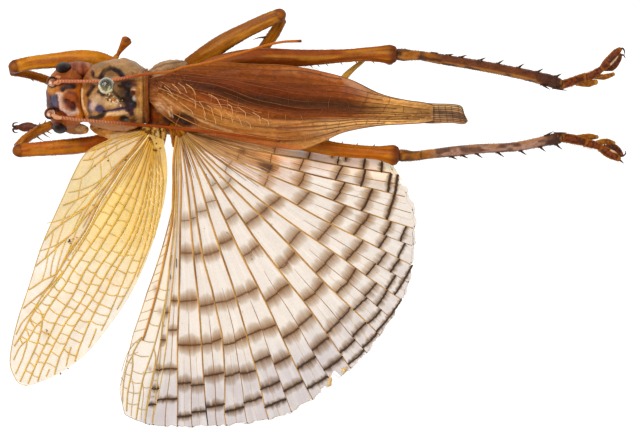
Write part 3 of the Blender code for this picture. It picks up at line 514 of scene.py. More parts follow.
            veins.add(fan_place(lo + (hi - lo) * (xa + (xb - xa) * x), r, 0.06), wide, mixed(lin(134, 88, 52), lin(72, 50, 34), np.full(10, np.clip((f - 0.5) / 0.4 + (0.5 if k < 3 else 0), 0, 1))))
    # crowded veins of the brown root
    for k in range(15):
        b0 = 15 + 24 * (k + rng.random() * 0.6) / 15
        r = np.linspace(10, rng.uniform(60, 125), 60)
        b = b0 + (b0 - 26) * 0.25 * (1 - ease(r / 90)) + 0.3 * np.sin(r * 0.06 + k)
        lo, hi = fan_edges(r)
        ok = b > lo + 0.6
        if ok.sum() > 10:
            veins.add(fan_place(b[ok], r[ok], 0.03), np.interp(r[ok], (10, 60, 125), (0.05, 0.035, 0.014)) * MM, mixed(lin(128, 74, 36), lin(206, 150, 92), np.full(ok.sum(), rng.random())), shade=0.3)
    for k in range(16):
        b0 = rng.uniform(40, 92)
        r = np.linspace(9, rng.uniform(36, 70), 30)
        veins.add(fan_place(b0 + 0 * r, r, 0.02), np.interp(r, (9, 70), (0.05, 0.012)) * MM, mixed(lin(120, 72, 32), lin(206, 150, 80), np.full(30, rng.random())), shade=0.3)
    # front edge: main vein, its branches and the small-celled field
    r = np.linspace(8, 215, 120)
    veins.add(fan_place(bearing_of(MAIN, r), r, 0.06), np.interp(r, (8, 120, 246), (0.15, 0.135, 0.12)) * MM, mixed(lin(194, 142, 66), lin(170, 112, 48), noise(r * 0.05, 3.0, 0, 9)), shade=0.35)
    def over(points, wide, tone=lin(192, 158, 88)):
        p = smooth([(*q, 0) for q in points], 60)
        du, dv = p[:, 0] - HUB[0], p[:, 1] - HUB[1]
        veins.add(fan_place(np.degrees(np.arctan2(dv, du)), np.hypot(du, dv), 0.05), wide * MM, tone, shade=0.3)

    for points, wide in (([(141.6, 337), (135, 349), (132.6, 355), (132.6, 366), (130, 380), (127.6, 393), (126.4, 411)], 0.075), ([(133, 354), (127, 366), (124, 380), (122.6, 394), (122.4, 403)], 0.06), ([(141.5, 337), (132, 346), (126, 357), (121.6, 371)], 0.04),
                         ([(171.6, 255), (166, 297), (159.7, 325), (153.7, 347.8), (147, 367), (142.4, 381), (139.6, 396), (136, 419)], 0.08), ([(153.7, 347.8), (155.6, 358), (153, 374), (150.2, 387), (147.4, 401), (145, 421)], 0.065),
                         ([(142.4, 381), (143.4, 393), (141.8, 407), (140.8, 420)], 0.038), ([(131, 375), (133.6, 390), (132, 404), (131, 416)], 0.038), ([(164, 306), (161.6, 330), (160.6, 352), (158, 376), (155, 400), (152, 422)], 0.045)):
        over(points, wide)
    for points in ([(150, 309), (158, 311)], [(148.2, 322.5), (159.8, 326)], [(141.4, 339.5), (154.4, 342)], [(134, 354), (148.6, 356.4)], [(132, 370.5), (146, 374)], [(129.6, 381), (142.4, 383)], [(128, 391.6), (140.6, 392.6)], [(127, 403), (138, 404)], [(158, 288), (169, 290)], [(156, 297.5), (166.5, 300)],
                   [(142, 386.6), (150.4, 387)], [(138, 408), (146.4, 409)], [(147, 396), (154, 396)], [(151.6, 379), (157.6, 380)], [(143, 372), (153.6, 371)], [(126, 360), (132.6, 363)], [(123.6, 372), (131.6, 375)], [(122.6, 386), (128.6, 388)], [(121, 377), (124, 380)], [(157, 365), (160.6, 365)], [(153, 391), (156, 391)], [(162, 325), (165, 325.5)], [(160.6, 345), (163.6, 345)]):
        over([points[0], ((points[0][0] + points[1][0]) / 2, (points[0][1] + points[1][1]) / 2 + 1.2), points[1]], 0.045, lin(196, 166, 98))
    r = 70.0
    while r < 236:           # slanting cross-veins between the main vein and the front edge
        x = np.linspace(0, 1, 6)
        lo, hi = float(bearing_of(MAIN, r)), float(fan_edges(r + 6)[1])
        veins.add(fan_place(lo + (hi - lo) * x, r + 6 * x, 0.03), 0.034 * MM, lin(196, 162, 96))
        r += rng.uniform(8, 13)
    r = np.linspace(8, 264, 150)
    veins.add(fan_place(fan_edges(r)[1] - 0.05, r, 0.01), np.interp(r, (8, 100, 264), (0.10, 0.06, 0.035)) * MM, mixed(lin(212, 168, 92), lin(150, 100, 46), noise(r * 0.06, 1.0, 0, 4)), shade=0.3)
    q = np.linspace(0, 1, 700)
    veins.add(fan_place(10.2 + 92.5 * q, rim(q) - 0.3), 0.018 * MM * (0.6 + 0.9 * noise(q * 90, 2.0, 0, 5)), mixed(lin(190, 164, 134), lin(120, 84, 52), ease((noise(q * 60, 5.0, 0, 6) - 0.62) / 0.1)))
    kept(veins.done("hindwing_veins", VEIN), "membrane", "hindwing_left")
    specks = Tubes(5)
    for b in RIM_LINES:      # dark ends of the veins
        p = fan_place(b, reach_of(b) - 0.2, 0.03)
        specks.add(np.array([p, p + [0.00006, -0.00005, 0]]), 0.06 * MM, lin(60, 40, 26))
    for _ in range(60):
        b, t = rng.uniform(12, 99), rng.uniform(0.15, 0.98)
        p = fan_place(b, t * reach_of(b), 0.05)
        size = rng.uniform(0.012, 0.035) * MM
        specks.add(np.array([p, p + np.array([size * 2, rng.normal(0, size), 0])]), size, lin(74, 50, 34))
    for u, v, w, h in ((170.5, 277, 0.4, 2.2), (176.4, 263, 0.45, 4.5)):
        specks.add(at(np.full(5, u), np.linspace(v - h, v + h, 5), 15.5), w * UNIT, lin(84, 54, 32))
    kept(specks.done("hindwing_specks", FOOT), "membrane")
    flaps = []               # curled scraps beside the tear
    for u0, v0, du, dv in ((326.5, 378, 4.6, 8.5), (340.5, 367.5, 6.5, 5.0)):
        x, y = np.meshgrid(np.linspace(0, 1, 24), np.linspace(0, 1, 24), indexing="ij")
        z = 15.5 + 0.22 * np.sin(x * pi * 1.6) * (0.4 + 0.6 * y) + 0.05 * noise(x * 6, y * 6, 0, 3)
        c = mixed(lin(240, 212, 150), lin(196, 150, 88), noise(x * 5, y * 5, 1, 2))
        flaps.append(mesh_object("hindwing_scrap", at(u0 + du * x + 1.5 * y + 0.8 * np.sin(y * 5), v0 + dv * y - 1.0 * x + 0.8 * np.sin(x * 4), z), grid_faces(24, 24), with_alpha(c, 0.92), PARCH))
    for f in flaps:
        kept(f, "membrane")


hind_wing()


# ---------------------------------------------------------------- fore wings
def strip_place(edge_a, edge_b, count=400):
    a, b = smooth([(*p, 0) for p in edge_a], count)[:, :2], smooth([(*p, 0) for p in edge_b], count)[:, :2]
    s0 = np.linspace(0, 1, count)

    def place(s, t):
        pa = np.stack([np.interp(s, s0, a[:, 0]), np.interp(s, s0, a[:, 1])], -1)
        pb = np.stack([np.interp(s, s0, b[:, 0]), np.interp(s, s0, b[:, 1])], -1)
        return mixed(pa, pb, t)

    return place


STEM = [(147, 134), (137, 147.5), (126, 161), (112, 182), (98, 204.5), (85.5, 229), (70, 253), (57.8, 271.5), (47, 287.7), (33.2, 300), (23.2, 308.5)]
REAR = [    # lengthwise veins behind the stem
    [(148, 137), (129, 165), (111, 193), (97, 216), (85.5, 237), (71.6, 258.6), (64, 270.8), (50.2, 290.4), (40.9, 302.7), (34.8, 310.8), (29.4, 319.2), (24.4, 328.8), (19.8, 336.5), (14, 346)],
    [(149, 139), (138.6, 163), (122.4, 193), (108.5, 218), (97, 236), (84, 254), (72.5, 270.8), (65.5, 283.8), (57.8, 294.6), (48.6, 308.5), (42.5, 320), (41.4, 328), (37, 343), (32.5, 353.8), (27, 366), (20, 382)],
    [(150, 141), (141, 170), (129, 197.6), (118, 218), (106, 237), (92.4, 259), (84.8, 270.8), (73.2, 294.6), (66.7, 304.6), (57.8, 317.7), (51, 331.5), (45.5, 343.8), (40, 355.4), (34.8, 367.7), (28, 383.5)],
    [(151, 143), (144, 172), (136, 200), (127, 223), (118, 239), (108, 255), (97, 270.8), (84, 295.4), (74.8, 310), (65.5, 323), (58.6, 336), (52.5, 347.7), (47, 358.5), (41.7, 369.2), (37.4, 381)],
    [(152.4, 145), (148, 174.5), (142, 202), (136, 222), (128, 241), (117, 257.5), (107.8, 270.8), (93.2, 297.7), (81.7, 315.4), (70.2, 333.8), (64.8, 345.4), (59.4, 357), (56.3, 367), (54.6, 374.6)],
    [(153, 145.6), (150, 174.5), (145.6, 202), (139.5, 225), (131, 244), (121, 261), (111.7, 277.7), (106.3, 290.8), (97.8, 306), (88.6, 323.8), (81.7, 340.8), (77.8, 351.5), (75, 361.5)],
    [(153.6, 146), (152, 174.5), (149.4, 202), (144.5, 225), (138.6, 244), (131, 262), (123.4, 281), (113.2, 303.8), (107.8, 317.5), (101.5, 330.5)],
    [(154.7, 147), (155.8, 177), (153.8, 202), (149.8, 225), (145, 246), (138.6, 265), (131, 283), (123, 299), (117, 309.5)],
    [(156.4, 148), (159.2, 177), (158, 202), (154, 225), (149.5, 244), (143.5, 261), (137, 276.5)],
    [(158.6, 149), (162.6, 177), (161.6, 200), (158, 222), (153.8, 238)]]
TWIGS = [   # short veins near the tip
    [(64, 270.8), (52, 284), (42, 296), (36, 305.4), (30, 313.8), (21.7, 323), (16, 334.5)], [(42.5, 320), (34.8, 327.7), (29.4, 337.7), (22.5, 343.8), (18.6, 349.2), (13.4, 360)], [(27.4, 340), (25.9, 347), (21.7, 360), (15.4, 374)],
    [(96.3, 328.5), (93.2, 337), (88.6, 347.5)], [(71, 347), (68.6, 354.6), (66, 366)], [(49.4, 369.2), (46, 376.6)], [(36, 305.4), (41, 313), (42.5, 320)], [(29.4, 319.2), (33, 325), (34.8, 327.7)], [(24.4, 328.8), (27, 331), (29.4, 337.7)], [(19.8, 336.5), (21, 341), (22.5, 343.8)]]
COMBS = [   # branches that run from near the stem to the front edge
    [(144, 131.5), (128, 137), (112, 143), (100, 148), (92, 150)], [(145, 132.5), (126, 140), (108, 149), (94, 158), (83, 160.5)], [(146.5, 133.5), (130, 143), (110, 154), (92, 168), (80, 178), (72, 180)],
    [(147, 134.5), (136, 147), (120, 162), (106, 176), (92, 190), (76, 200), (63, 205.5)], [(124, 163.5), (110, 180), (96, 196), (82, 210), (66, 221), (52, 231), (44.5, 240)],
    [(103, 197), (88, 214), (72, 233), (56, 248), (44, 259), (36, 266)], [(80, 238), (68, 252), (57.8, 271.5), (44, 280), (28.6, 289.6)]]


def left_tegmen():
    rng = np.random.default_rng(11)
    edge_a = [(141, 131), (118, 136.5), (100, 144), (88, 151), (79, 163), (61.7, 200), (42, 245), (28, 289), (18, 319), (11.2, 348.7), (10.3, 366), (16, 380)]
    edge_b = [(163, 139.5), (166.5, 158), (167, 179), (163.5, 204), (151.5, 246), (132, 291), (106.6, 329), (84, 355), (60, 372.6), (42, 381), (27, 386)]
    place = strip_place(edge_a, edge_b)
    flat = lambda u, v, lift=0.0: at(u, v, 16.3 + 0.25 * np.sin(np.clip((np.asarray(v, float) - 134) / 250, 0, 1) * pi) - 0.002 * (np.asarray(v, float) - 134) + 0.05 * np.sin(np.asarray(u, float) * 0.21 + np.asarray(v, float) * 0.13) + lift)
    ns, nt = 360, 190
    S, T = np.meshgrid(np.linspace(0, 1, ns), np.linspace(0, 1, nt), indexing="ij")
    uv = place(S, T)
    U, V = uv[..., 0], uv[..., 1]
    stem = smooth([(*p, 0) for p in STEM], 200)
    behind = ease((U - np.interp(V, stem[:, 1], stem[:, 0]) + 6) / 14)
    wash = behind * ease((336 - V - 0.30 * (160 - U)) / 110)
    colour = mixed(lin(226, 212, 192), lin(228, 198, 122), np.clip(wash, 0, 1))
    colour = mixed(colour, lin(220, 182, 96), 0.8 * behind * ease((262 - V) / 40) * ease((U - 112) / 25))
    colour = mixed(colour, lin(210, 176, 102), 0.85 * (1 - behind) * ease((262 - V) / 70))
    colour = mixed(colour, lin(206, 164, 84), 0.7 * ease((196 - V - 0.25 * np.abs(U - 130)) / 50))
    colour = mixed(colour, lin(208, 182, 108), 0.9 * (1 - behind) * blob(U, V, 84, 205, 40, 60, -60, 0.9))
    colour = mixed(colour, lin(168, 112, 48), 0.5 * ease((146 - V) / 9))
    colour = mixed(colour, lin(226, 182, 96), 0.25 * ease((noise(U * 0.05, V * 0.05, 1) - 0.35) / 0.4))
    alpha = 0.78 + 0.14 * np.clip(wash, 0, 1) + 0.05 * noise(U * 0.3, V * 0.3, 2) - 0.16 * ease((0.03 - (1 - T)) / 0.025) * ease((S - 0.12) / 0.1)
    colour = colour * (0.95 + 0.08 * noise(T * 90, S * 20, 0, 5))[..., None]
    for u, v, w, h, much in ((90, 213, 5, 8, .7), (46, 333, 2.6, 3.4, .7), (76, 240, 6, 3.6, .5), (123, 168, 3, 5, .4)):
        colour = mixed(colour, lin(206, 150, 50), much * blob(U, V, u, v, w, h, 30, 0.8))
    verts = flat(U, V)
    verts[..., 2] += 0.04 * (noise(U * 0.25, V * 0.25, 4) - 0.5) * MM - 0.04 * MM
    kept(mesh_object("tegmen_left_film", verts, grid_faces(ns, nt), with_alpha(np.clip(colour, 0, 1), np.clip(alpha, 0, 1)), PARCH), "tegmen_yellow", "tegmen_left")

    veins = Tubes(6)
    root, gold, pale = lin(202, 150, 54), lin(212, 168, 62), lin(228, 196, 112)
    far = lambda v: ease((np.asarray(v, float) - 150) / 90)

    def draw(points, wide, tone=None, lift=0.02, wob=0.25):
        p = smooth([(*q, 0) for q in points], 130)
        run = np.gradient(p[:, :2], axis=0)
        run /= np.linalg.norm(run, axis=1)[:, None] + 1e-9
        off = wob * np.sin(np.linspace(0, 19, 130) + points[0][1])
        p[:, 0] -= run[:, 1] * off
        p[:, 1] += run[:, 0] * off
        veins.add(flat(p[:, 0], p[:, 1], lift), np.linspace(1.1, 0.9, 130) * wide * MM, mixed(root, gold, far(p[:, 1])) if tone is None else tone, shade=0.1)
        return p

    draw(STEM, 0.070, mixed(lin(178, 122, 48), lin(206, 160, 74), np.linspace(0, 1, 130) ** 0.7), 0.03)
    draw([(u + 1.7, v + 1.0) for u, v in STEM[:7]], 0.060, lin(240, 214, 158), 0.03)
    draw([(u - 2.6, v - 1.2) for u, v in STEM[:6]], 0.045, lin(198, 146, 62))
    rear = [np.asarray(smooth([(*q, 0) for q in STEM], 130))] + [draw(points, 0.080 if k < 6 else 0.062) for k, points in enumerate(REAR)]
    combs = [draw(points, 0.072 if k > 2 else 0.058) for k, points in enumerate(COMBS)]
    hub = np.array([150.0, 138.0])
    edge = smooth([(*q, 0) for q in edge_b], 130)
    rear.append(edge - [0.6, 0, 0])
    reach = lambda p: np.hypot(p[:, 0] - hub[0], p[:, 1] - hub[1])
    for k in range(len(rear) - 1):
        ra, rb = reach(rear[k]), reach(rear[k + 1])
        r = 26.0 + 4 * rng.random() if k > 4 else 58.0 + 9 * rng.random()
        if k == len(rear) - 2:
            r = 60.0
        while r < min(ra[-1], rb[-1]) - 2:
            whitish = k >= 4 and r < 118
            lean = 8.0 if whitish else rng.uniform(-2.5, 2.5)
            pa = [np.interp(r, ra, rear[k][:, c]) for c in (0, 1)]
            pb = [np.interp(r + lean, rb, rear[k + 1][:, c]) for c in (0, 1)]
            gap = float(np.hypot(pa[0] - pb[0], pa[1] - pb[1]))
            if 1.6 < gap < 32:
                x = np.linspace(0, 1, 9)
                along = (np.array(pa) + pb) / 2 - hub
                along /= np.linalg.norm(along)
                bow = np.sin(pi * x) * (2.2 if whitish else rng.uniform(-1.0, 1.9))
                u, v = pa[0] + (pb[0] - pa[0]) * x + along[0] * bow, pa[1] + (pb[1] - pa[1]) * x + along[1] * bow
                veins.add(flat(u, v, 0.02), (0.036 if whitish else 0.052) * MM * rng.uniform(0.8, 1.2), lin(246, 224, 164) if whitish else mixed(gold, pale, 0.6 * rng.random() * np.ones(9)))
            r += rng.uniform(7.5, 10.5) if whitish else rng.uniform(11, 16.5) * (1.0 if r < 150 else 0.8)
    for a, b in zip(combs[:-1], combs[1:]):
        n = 3 if len(a) and reach(a)[-1] < 110 else 4
        for j in range(n):
            x = 0.36 + 0.60 * (j + rng.uniform(0.2, 0.8)) / n
            i, m = int(x * 129), int(np.clip(x + rng.uniform(-0.08, 0.02), 0, 1) * 129)
            t = np.linspace(0, 1, 8)
            bow = np.sin(pi * t) * rng.uniform(-1.6, 1.6)
            veins.add(flat(a[i, 0] + (b[m, 0] - a[i, 0]) * t + bow, a[i, 1] + (b[m, 1] - a[i, 1]) * t, 0.02), 0.054 * MM * rng.uniform(0.8, 1.2), mixed(gold, pale, 0.7 * rng.random() * np.ones(8)))
    for points in TWIGS:
        draw(points, 0.062, wob=0.1)
    for a, b in ((combs[3], 0.55), (combs[4], 0.5), (combs[5], 0.5)):      # small forks at the front edge
        i = int(b * 129)
        t = np.linspace(0, 1, 20)
        end = a[118] + [-3.6, -9.5, 0]
        veins.add(flat(a[i, 0] + (end[0] - a[i, 0]) * t, a[i, 1] + (end[1] - a[i, 1]) * t + 3 * np.sin(pi * t), 0.02), 0.045 * MM, gold)
    for pts, wide, tone in ((edge_a, 0.045, lin(206, 168, 92)), (edge_b, 0.028, lin(226, 206, 158))):
        p = smooth([(*q, 0) for q in pts], 240)
        veins.add(flat(p[:, 0], p[:, 1]), wide * MM, tone)
    p = smooth([(16, 380, 0), (19, 383, 0), (27, 386, 0)], 20)
    veins.add(flat(p[:, 0], p[:, 1]), 0.04 * MM, lin(214, 176, 104))
    for k in range(12):      # crowded strands at the wing root
        u1, v1 = 96 + 66 * k / 11, 168 + 26 * rng.random()
        t = np.linspace(0, 1, 24)
        veins.add(flat(148 + 0.7 * (k - 5) + (u1 - 148 - 0.7 * (k - 5)) * t ** 1.15, 134 + 0.6 * k + (v1 - 134 - 0.6 * k) * t, 0.01), np.linspace(0.05, 0.012, 24) * MM, mixed(lin(150, 96, 36), lin(214, 168, 80), t))
    kept(veins.done("tegmen_left_veins", VEIN), "tegmen_yellow", "tegmen_left")
    specks = Tubes(5)
    for u, v, w in ((150, 140, 1.3), (154.5, 150, 2.2), (152, 147, 0.9), (108, 161, 1.0), (126, 160, 1.4), (95, 166, 0.7), (126.5, 156.5, 0.8), (69, 241, 1.8), (73, 239, 0.9), (70, 243.6, 0.8), (76.5, 237.5, 0.6), (97, 207, 0.9), (85, 232, 0.7), (73.5, 300, 0.7), (46.5, 331, 1.0), (48, 334, 0.8), (60.6, 373.5, 1.2), (68, 369, 0.8), (156, 144, 1.0), (148, 146, 0.7), (159.6, 148, 0.9), (93, 205, 0.7), (104, 190, 0.6), (152, 133, 1.0), (158, 131, 0.8), (147, 134, 0.9), (155, 138, 0.7)):
        p = flat(u, v, 0.05)
        for _ in range(4):
            d = rng.normal(0, w * 0.45 * UNIT, 3) * [1, 1, 0.1]
            specks.add(np.array([p + d, p + d + [w * UNIT * 0.7, w * UNIT * 0.3, 0]]), w * UNIT * 0.4, lin(104, 66, 28))
    kept(specks.done("tegmen_left_specks", FOOT), "tegmen_yellow")


left_tegmen()


def tegmen_height(u, v):
    ridge = np.interp(u, (160, 230, 300, 433, 470), (92, 86, 90, 111, 113))
    fall = np.maximum(0.0, ridge - v) / 24.0
    return 16.75 - 0.95 * np.minimum(fall, 1.3) ** 1.3 - 0.012 * np.maximum(0.0, v - ridge) - 0.0018 * np.maximum(0.0, u - 300)


LONG = [    # lengthwise veins of the folded wing, from the costal side down
    [(190, 69), (225, 69.2), (252, 69.4), (293, 70.4), (312, 72.6), (330, 77), (342, 79.2)],
    [(180, 73), (205, 75), (222, 77), (252, 79.6), (283, 82.2), (310, 84.4), (346, 87), (369, 92.4), (399, 100.4)],
    [(176, 75), (205, 77.5), (222, 79), (242, 82.6), (273, 88.8), (293, 93), (320, 96), (346, 99.4), (380, 103.8), (410, 107), (430, 110)],
    [(165, 78), (181, 79.6), (211, 84), (232, 90.4), (252, 98.0), (273, 103.4), (298, 107.6), (330, 109.4), (360, 111), (395, 112.4), (430, 113.6)],
    [(160, 82), (194, 88.6), (222, 96.6), (237, 102), (252, 107.6), (273, 112.6), (298, 115.4), (330, 115.8), (360, 116), (395, 116.2), (430, 116.4)],
    [(158, 88), (172, 93), (190, 101), (206, 109), (221, 115.6), (240, 120.4), (262, 123.4), (290, 124), (320, 122), (350, 120), (385, 119), (420, 119.6)],
    [(158, 93), (167, 98), (180, 107), (200, 117), (231, 126.4), (250, 129), (280, 131.4), (310, 130.6), (335, 127.4), (360, 124.6), (385, 122.6)],
    [(160, 100), (172, 112), (190, 122), (206, 128), (240, 134), (262, 137), (285, 139.4), (303, 139), (322, 135), (340, 130.4)],
]


def right_wings():
    rng = np.random.default_rng(5)
    edge_a = [(149, 79), (166, 74), (186, 67.5), (202, 63.8), (219, 62.5), (250, 64), (286, 65.5), (319, 71), (350, 79.5), (381, 94), (405, 100), (424, 102.6), (433, 105)]
    edge_b = [(149.5, 101), (162, 114), (184, 128), (202, 133), (240, 141), (275, 147), (301, 149.5), (322, 142), (343, 132.5), (376, 126), (405, 124), (424, 122.8), (433, 121)]
    place = strip_place(edge_a, edge_b)

    def on(u, v, lift=0.04):
        return at(u, v, tegmen_height(u, v) + lift)

    ns, nt = 380, 190
    S, T = np.meshgrid(np.linspace(0, 1, ns), np.linspace(0, 1, nt), indexing="ij")
    uv = place(S, T)
    U, V = uv[..., 0], uv[..., 1]
    rows = [np.interp(U, *np.array(p).T) for p in LONG]
    step = lambda k, soft=3.0: ease((V - rows[k] + soft) / (2 * soft))
    colour = np.ones(U.shape + (1,)) * lin(158, 90, 36)
    colour = mixed(colour, lin(140, 74, 28), step(0))
    colour = mixed(colour, lin(126, 60, 20), step(1))
    colour = mixed(colour, lin(112, 50, 15), step(2, 5))
    colour = mixed(colour, lin(158, 86, 34), step(4, 5))
    colour = mixed(colour, lin(184, 116, 54), step(5, 4))
    colour = mixed(colour, lin(182, 116, 58), step(6, 4))
    far = ease((U - 345) / 60)
    colour = mixed(colour, lin(196, 140, 76), 0.95 * far)
    colour = mixed(colour, lin(206, 152, 88), 0.8 * ease((U - 285) / 50) * ease((V - rows[4] - 1) / 5))
    colour = mixed(colour, lin(120, 62, 28), 0.6 * ease((205 - U) / 40) * ease((104 - V) / 20))
    lane = sum(np.clip((V - lo) / np.maximum(hi - lo, 0.4), 0, 1) for lo, hi in zip([rows[0] - 6] + rows, rows + [rows[-1] + 8]))
    streak = stroke(U, V, [(196, 86), (222, 93), (240, 98.5), (262, 101.4), (300, 103), (335, 105), (362, 108.6), (392, 111), (430, 114)], 5.4, 0.8)
    colour = mixed(colour, lin(70, 40, 20), streak * np.interp(U, (190, 215, 240, 350, 385, 430), (0.35, 0.7, 0.9, 0.85, 0.35, 0.5)))
    colour = mixed(colour, lin(84, 42, 22), 0.7 * stroke(U, V, [(185, 82), (205, 88), (225, 92)], 4.5, 0.9))
    colour = mixed(colour, lin(206, 134, 42), 0.7 * blob(U, V, 222, 116, 18, 6, 24, 0.7))
    colour = mixed(colour, lin(150, 66, 26), 0.6 * blob(U, V, 214, 100, 14, 5, 28, 0.7))
    # painted shade: the hollow at the wing root is dented and painted near-black
    shaded_hollow = blob(U, V, 183, 120, 15, 6.5, 12, 0.35)
    colour = mixed(colour, lin(44, 24, 18), 0.95 * shaded_hollow)
    colour = mixed(colour, lin(206, 168, 142), 0.85 * blob(U, V, 161, 106, 7, 4.5, 55, 0.5))
    for pts, w, rgb, much in (([(163, 97), (180, 109), (201, 120.6), (216, 126.5), (232, 132)], 1.1, (206, 166, 122), .9), ([(196, 115), (215, 121), (238, 127.5)], 1.0, (206, 150, 52), .7),
                              ([(200, 131), (230, 136), (262, 138)], 2.4, (186, 140, 86), .6), ([(232, 137.5), (270, 139), (284, 145)], 2.4, (160, 84, 34), .7), ([(268, 137.6), (277, 139), (281, 143)], 1.1, (226, 176, 104), .8),
                              ([(168, 108), (170, 116)], 1.0, (232, 206, 178), .8), ([(171, 106), (172.5, 117)], 0.8, (216, 186, 170), .8), ([(283, 70.8), (296, 71.5)], 2.4, (172, 116, 52), .5)):
        colour = mixed(colour, lin(*rgb), much * stroke(U, V, pts, w, 0.6))
    along = noise(U * 0.03, lane * 3.8, 0, 6)
    colour = mixed(colour, lin(112, 56, 22), 0.75 * ease((noise(U * 0.035, lane * 2.6, 0, 21) - 0.50) / 0.2) * ease((V - rows[4]) / 6) * 0.7)
    colour = mixed(colour, lin(214, 158, 96), 0.5 * ease((noise(U * 0.03, lane * 3.4, 0, 22) - 0.56) / 0.18) * ease((V - rows[4] - 3) / 6) * ease((U - 200) / 30))
    colour = mixed(colour, lin(84, 44, 24), 0.8 * ease((noise(U * 0.25, V * 0.25, 0, 23) - 0.45) / 0.2) * ease((186 - U) / 22) * ease((100 - V) / 10))
    colour = colour * (0.74 + 0.52 * along)[..., None] * (0.90 + 0.20 * noise(U * 0.20, lane * 9.0, 0, 8))[..., None] * [0.90, 0.86, 0.72] * mixed(np.array([0.80, 0.72, 0.62]), np.array([1.28, 1.34, 1.42]), ease((U - 275) / 100))
    # painted highlights: light speckles near the wing root, kept out of the hollow
    colour = mixed(colour, lin(176, 112, 62), 0.32 * ease((noise(U * 0.9, V * 1.5, 0, 41) - 0.58) / 0.2) * ease((204 - U) / 30) * (1 - shaded_hollow))
    colour = colour * (0.78 + 0.44 * noise(U * 0.40, V * 1.1, 0, 42))[..., None] * (0.87 + 0.26 * noise(U * 1.1, V * 1.9, 0, 43))[..., None]
    colour = colour * mixed(np.array([1.0, 1.0, 1.0]), np.array([0.80, 0.80, 0.92]), ease((U - 392) / 34))
    # orange-brown rim along the lower edge: partly the rim's own colour, partly painted light where the rim is lit
    colour = mixed(colour, lin(176, 84, 30), 0.6 * stroke(U, V, [(186, 129), (240, 139.6), (300, 148)], 2.2, 0.7))
    clear = blob(U, V, 353, 83.5, 17, 3.6, 30, 0.5)
    colour = mixed(colour, lin(176, 122, 84), 0.6 * clear)
    alpha = 0.98 - 0.02 * clear
    verts = on(U, V, 0.0)
    near = np.min(np.stack([np.abs(V - r) for r in rows], -1), -1)
    verts[..., 2] -= (0.05 * np.minimum(near / 4.0, 1.0) + 0.05 * (noise(U * 0.18, V * 0.35, 0, 3) - 0.5)) * MM + shaded_hollow * 0.25 * MM
    kept(mesh_object("tegmen_right_skin", verts, grid_faces(ns, nt), with_alpha(np.clip(colour, 0, 1), alpha), PARCH), "tegmen_brown", "tegmen_right")

    veins = Tubes(6)
    paths = []
    for k, pts in enumerate(LONG):
        p = smooth([(*q, 0) for q in pts], 170)
        u, v = p[:, 0], p[:, 1] + 0.3 * np.sin(p[:, 0] * 0.12 + k)
        paths.append((u, v))
        light = lin(142, 80, 40) if k < 5 else lin(180, 118, 60)
        tone = mixed(light, lin(92, 52, 26), np.clip(ease((u - 270) / 70) * (0.9 if k != 0 else 0.4) + (0.5 if k == 0 else 0), 0, 1))
        veins.add(on(u, v, 0.03), np.interp(u, (160, 220, 432), (0.055, 0.05, 0.04)) * MM * (0.62 if k < 5 else 0.9), tone, shade=0.3)
    for k in range(5):            # finer strands between them
        u = np.linspace(200 + 12 * k, 425 - 14 * abs(k - 3), 150)
        ua, va = paths[k + 1]
        ub, vb = paths[k + 2]
        v = 0.5 * np.interp(u, ua, va) + 0.5 * np.interp(u, ub, vb) + 0.3 * np.sin(u * 0.09 + k)
        veins.add(on(u, v, 0.02), 0.026 * MM, mixed(lin(128, 70, 34), lin(84, 48, 26), ease((u - 280) / 80)), shade=0.3)
    full = [(smooth([(*q, 0) for q in edge_a], 200)[:, 0], smooth([(*q, 0) for q in edge_a], 200)[:, 1])] + paths + [(smooth([(*q, 0) for q in edge_b], 200)[:, 0], smooth([(*q, 0) for q in edge_b], 200)[:, 1])]
    for k in range(len(full) - 1):
        (ua, va), (ub, vb) = full[k], full[k + 1]
        u = max(ua[0], ub[0]) + (34 if 1 <= k <= 5 else 20)
        stop = min(ua[-1], ub[-1]) - 2
        while u < stop:
            a, b = float(np.interp(u, ua, va)), float(np.interp(u + 2, ub, vb))
            if b - a > 2.0:
                x = np.linspace(0, 1, 6)
                lean = rng.uniform(-5.0, 5.0) if k > 1 else rng.uniform(0.5, 3.0)
                tone = mixed(lin(160, 92, 44), lin(112, 64, 32), ease((u - 300) / 70) * np.ones(6))
                if u < 310:
                    tone = lin(130, 70, 32) if k < 5 else lin(186, 122, 66)
                veins.add(on(u + lean * x + np.sin(pi * x) * rng.normal(0, 0.6), a + (b - a) * x, 0.025), (0.012 if k < 5 and u < 310 else 0.020) * MM, tone)
            u += rng.uniform(14, 24) if k < 5 else rng.uniform(11, 19)
    hooks = [[(190, 98.1), (195.1, 100.6), (195.6, 108.3)], [(199.2, 101.7), (202.8, 106.3), (205.9, 116.5)], [(207.4, 105.3), (211.5, 108.3), (213.6, 116.5)], [(214.6, 108.3), (220.8, 111.9), (221.8, 120.6)],
             [(208.5, 94), (216.7, 98.1), (221.8, 108.3)], [(228, 104.2), (231.5, 106.3), (233.1, 114.5)], [(238.2, 107.3), (245.4, 112.4), (245.9, 118.6)], [(252.6, 112.4), (259.7, 116.5), (260.3, 123.7)],
             [(225.9, 112.4), (231, 116.5), (233.1, 122.7)], [(236, 116), (239.5, 119), (242.3, 126.8)], [(167.4, 93), (177.7, 100.1)], [(179.7, 102.2), (192, 111.4), (193, 114.5)], [(203.8, 113.5), (205.9, 120.6)], [(214, 117), (215, 119), (216, 124.7)],
             [(172, 84), (177, 88), (181, 94)], [(178, 83), (184, 87), (187, 93)], [(186, 84), (192, 88), (196, 95)], [(164, 86), (169, 90), (173, 96)], [(262, 118), (268, 121), (269, 126)], [(246, 121), (250, 124), (251, 129)]]
    for pts in hooks:
        p = np.array(pts, float)
        u, v = np.interp(np.linspace(0, len(p) - 1, 14), np.arange(len(p)), p[:, 0]), np.interp(np.linspace(0, len(p) - 1, 14), np.arange(len(p)), p[:, 1])
        veins.add(on(u, v, 0.05), 0.034 * MM, lin(214, 160, 104))
